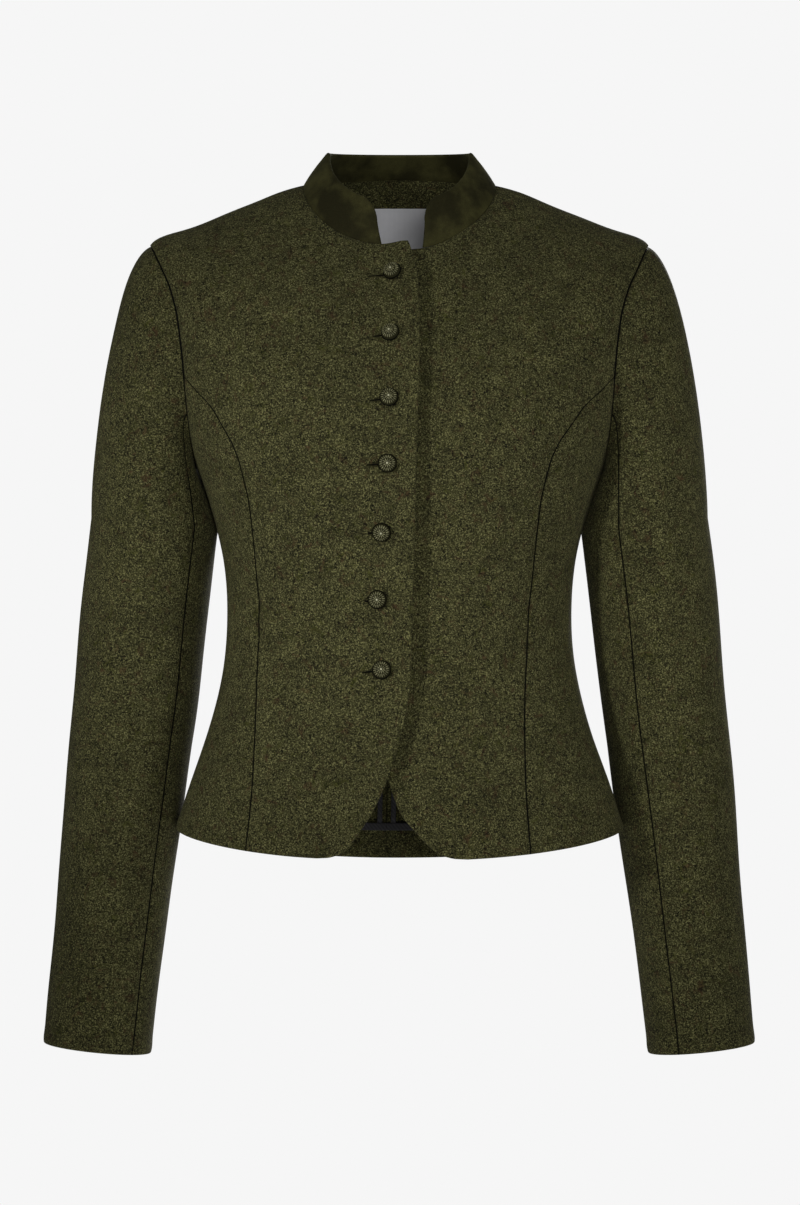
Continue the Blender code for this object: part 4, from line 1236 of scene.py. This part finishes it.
def buttonhole(x_from, x_to, z):
    """Stitches over the two lips of a slit, and between them a near-black tube, painted shade in
    the slit's opening.
    """
    count = int(abs(x_to - x_from) / STITCH_MM)
    xs = np.linspace(x_from, x_to, count)
    opening = LEAST_OPEN + MOST_OPEN * np.exp(-((xs - x_from + OPEN_AT) / OPEN_REACH) ** 2)
    drop = np.linspace(0, -HOLE_DROP, count)
    seats, normals = on_the_lap(xs, z + drop)
    stitches = []
    for seat, normal, half in zip(seats, normals, opening):
        up = np.array((0, 0, 1.0)) - normal * normal[2]
        for way in (-1, 1):
            path = np.array([seat + up * way * (half + across) + normal * high
                             for across, high in STITCH])
            stitches.append(tube(path, np.full(len(path), STITCH_RADIUS), STITCH_SIDES))
    # the slit's near-black tube is painted shade in the opening
    slit = tube(seats - normals * (opening - SLIT_UP)[:, None], opening + SLIT_WIDER, SLIT_SIDES)
    return stitches, slit


stitches, slit_shades = [], []
for (x, z), x_end in zip(BUTTONS, HOLE_ENDS_X):
    made, slit = buttonhole(x + HOLE_START_X, x_end, z + HOLE_Z)
    stitches += made
    slit_shades.append(slit)
add_parts("thread_buttonholes", [joined(stitches), joined(slit_shades)], [twist, painted_shade_thread])
print("buttonholes of", len(stitches), "stitches")

# %% [markdown]
# The studio: a pale floor far below, since the wearer's shoulders carry the jacket at their
# height, and a pale backdrop. The backdrop is the world, which the camera sees as a bright, even
# grey while it lights the cloth much less, and the floor's rim runs into it like a cove. Two
# soft-edged spots light the jacket from the sides, and soft lamps from the front and from behind.

# %% Floor
FLOOR_LEVEL, FLOOR_RADIUS = -1.38, 4.5
BACKDROP_TO_CAMERA, BACKDROP_LIGHT = linear("#f6f6f6"), 0.15
COVE_INNER, COVE_MOST, COVE_LEAST = 0.75, 1.0, 0.72
bpy.ops.mesh.primitive_circle_add(vertices=96, radius=FLOOR_RADIUS, fill_type="NGON",
                                  location=(0, 0, FLOOR_LEVEL))
floor = bpy.context.object
floor.name = "Floor"
paint, tree, shader = new_finish("Matt white studio floor")
place = places(tree)
wear = add_node(tree, "ShaderNodeTexNoise", {"Scale": 3.0, "Detail": 3.0}, {"Vector": place})
tone = mixed(tree, wear.outputs["Fac"], "#efefef", "#f4f4f4")
tree.links.new(tone, shader.inputs["Base Color"])
shader.inputs["Roughness"].default_value = 0.9
shrunk = add_node(tree, "ShaderNodeMapping", {"Scale": (1 / FLOOR_RADIUS,) * 3}, {"Vector": place})
inward = add_node(tree, "ShaderNodeTexGradient", {"gradient_type": "SPHERICAL"},
                  {"Vector": shrunk.outputs["Vector"]})
blend = add_node(tree, "ShaderNodeMapRange", {
    "From Max": COVE_INNER, "To Min": COVE_MOST, "To Max": COVE_LEAST},
    {"Value": inward.outputs["Fac"]})
ray = add_node(tree, "ShaderNodeLightPath", {})
seen = add_node(tree, "ShaderNodeMath", {"operation": "MULTIPLY"},
                {0: ray.outputs["Is Camera Ray"], 1: blend.outputs["Result"]})
glow = add_node(tree, "ShaderNodeEmission", {"Color": BACKDROP_TO_CAMERA, "Strength": 1.0})
cove = add_node(tree, "ShaderNodeMixShader", {}, {
    0: seen.outputs["Value"], 1: shader.outputs[0], 2: glow.outputs[0]})
tree.links.new(cove.outputs[0], tree.nodes["Material Output"].inputs["Surface"])
floor.data.materials.append(paint)

# %% [markdown]
# Every lamp is aimed at the middle of the jacket. The key spot is the stronger of the two, so the
# light falls from the viewer's left.

# %% Backdrop and lamps
world = bpy.data.worlds.new("Studio")
bpy.context.scene.world = world
world.use_nodes = True
sky = world.node_tree
for old in list(sky.nodes):
    sky.nodes.remove(old)
seen = add_node(sky, "ShaderNodeBackground", {"Color": BACKDROP_TO_CAMERA, "Strength": 1.0})
felt = add_node(sky, "ShaderNodeBackground", {
    "Color": linear("#ffffff"), "Strength": BACKDROP_LIGHT})
ray = add_node(sky, "ShaderNodeLightPath", {})
both = add_node(sky, "ShaderNodeMixShader", {}, {
    0: ray.outputs["Is Camera Ray"], 1: felt.outputs[0], 2: seen.outputs[0]})
add_node(sky, "ShaderNodeOutputWorld", {}, {"Surface": both.outputs[0]})

LAMPS = (
    # name, kind, place, size or width of the beam in degrees, power in watts
    ("Key", "SPOT", (-2.3, -2.4, 0.4), 12.8, 220),
    ("Side", "SPOT", (2.8, -1.7, 0.2), 13.0, 85),
    ("Fill", "AREA", (0.35, -3.4, 0.0), 0.9, 28),
    ("Back", "AREA", (0.6, 3.0, 0.1), 1.8, 80),
)
LAMPS_AIM, SPOT_RADIUS, SPOT_BLEND = Vector((0, 0, -0.31)), 0.2, 1.0
for name, kind, place, size, power in LAMPS:
    lamp = bpy.data.objects.new(name, bpy.data.lights.new(name, kind))
    lamp.data.energy = power
    if kind == "SPOT":
        lamp.data.spot_size, lamp.data.spot_blend = math.radians(size), SPOT_BLEND
        lamp.data.shadow_soft_size = SPOT_RADIUS
    else:
        lamp.data.size = size
    lamp.location = place
    lamp.rotation_euler = (LAMPS_AIM - Vector(place)).to_track_quat("-Z", "Y").to_euler()
    bpy.context.scene.collection.objects.link(lamp)
bpy.context.scene.view_settings.view_transform = "Standard"
print(len(LAMPS), "lamps")
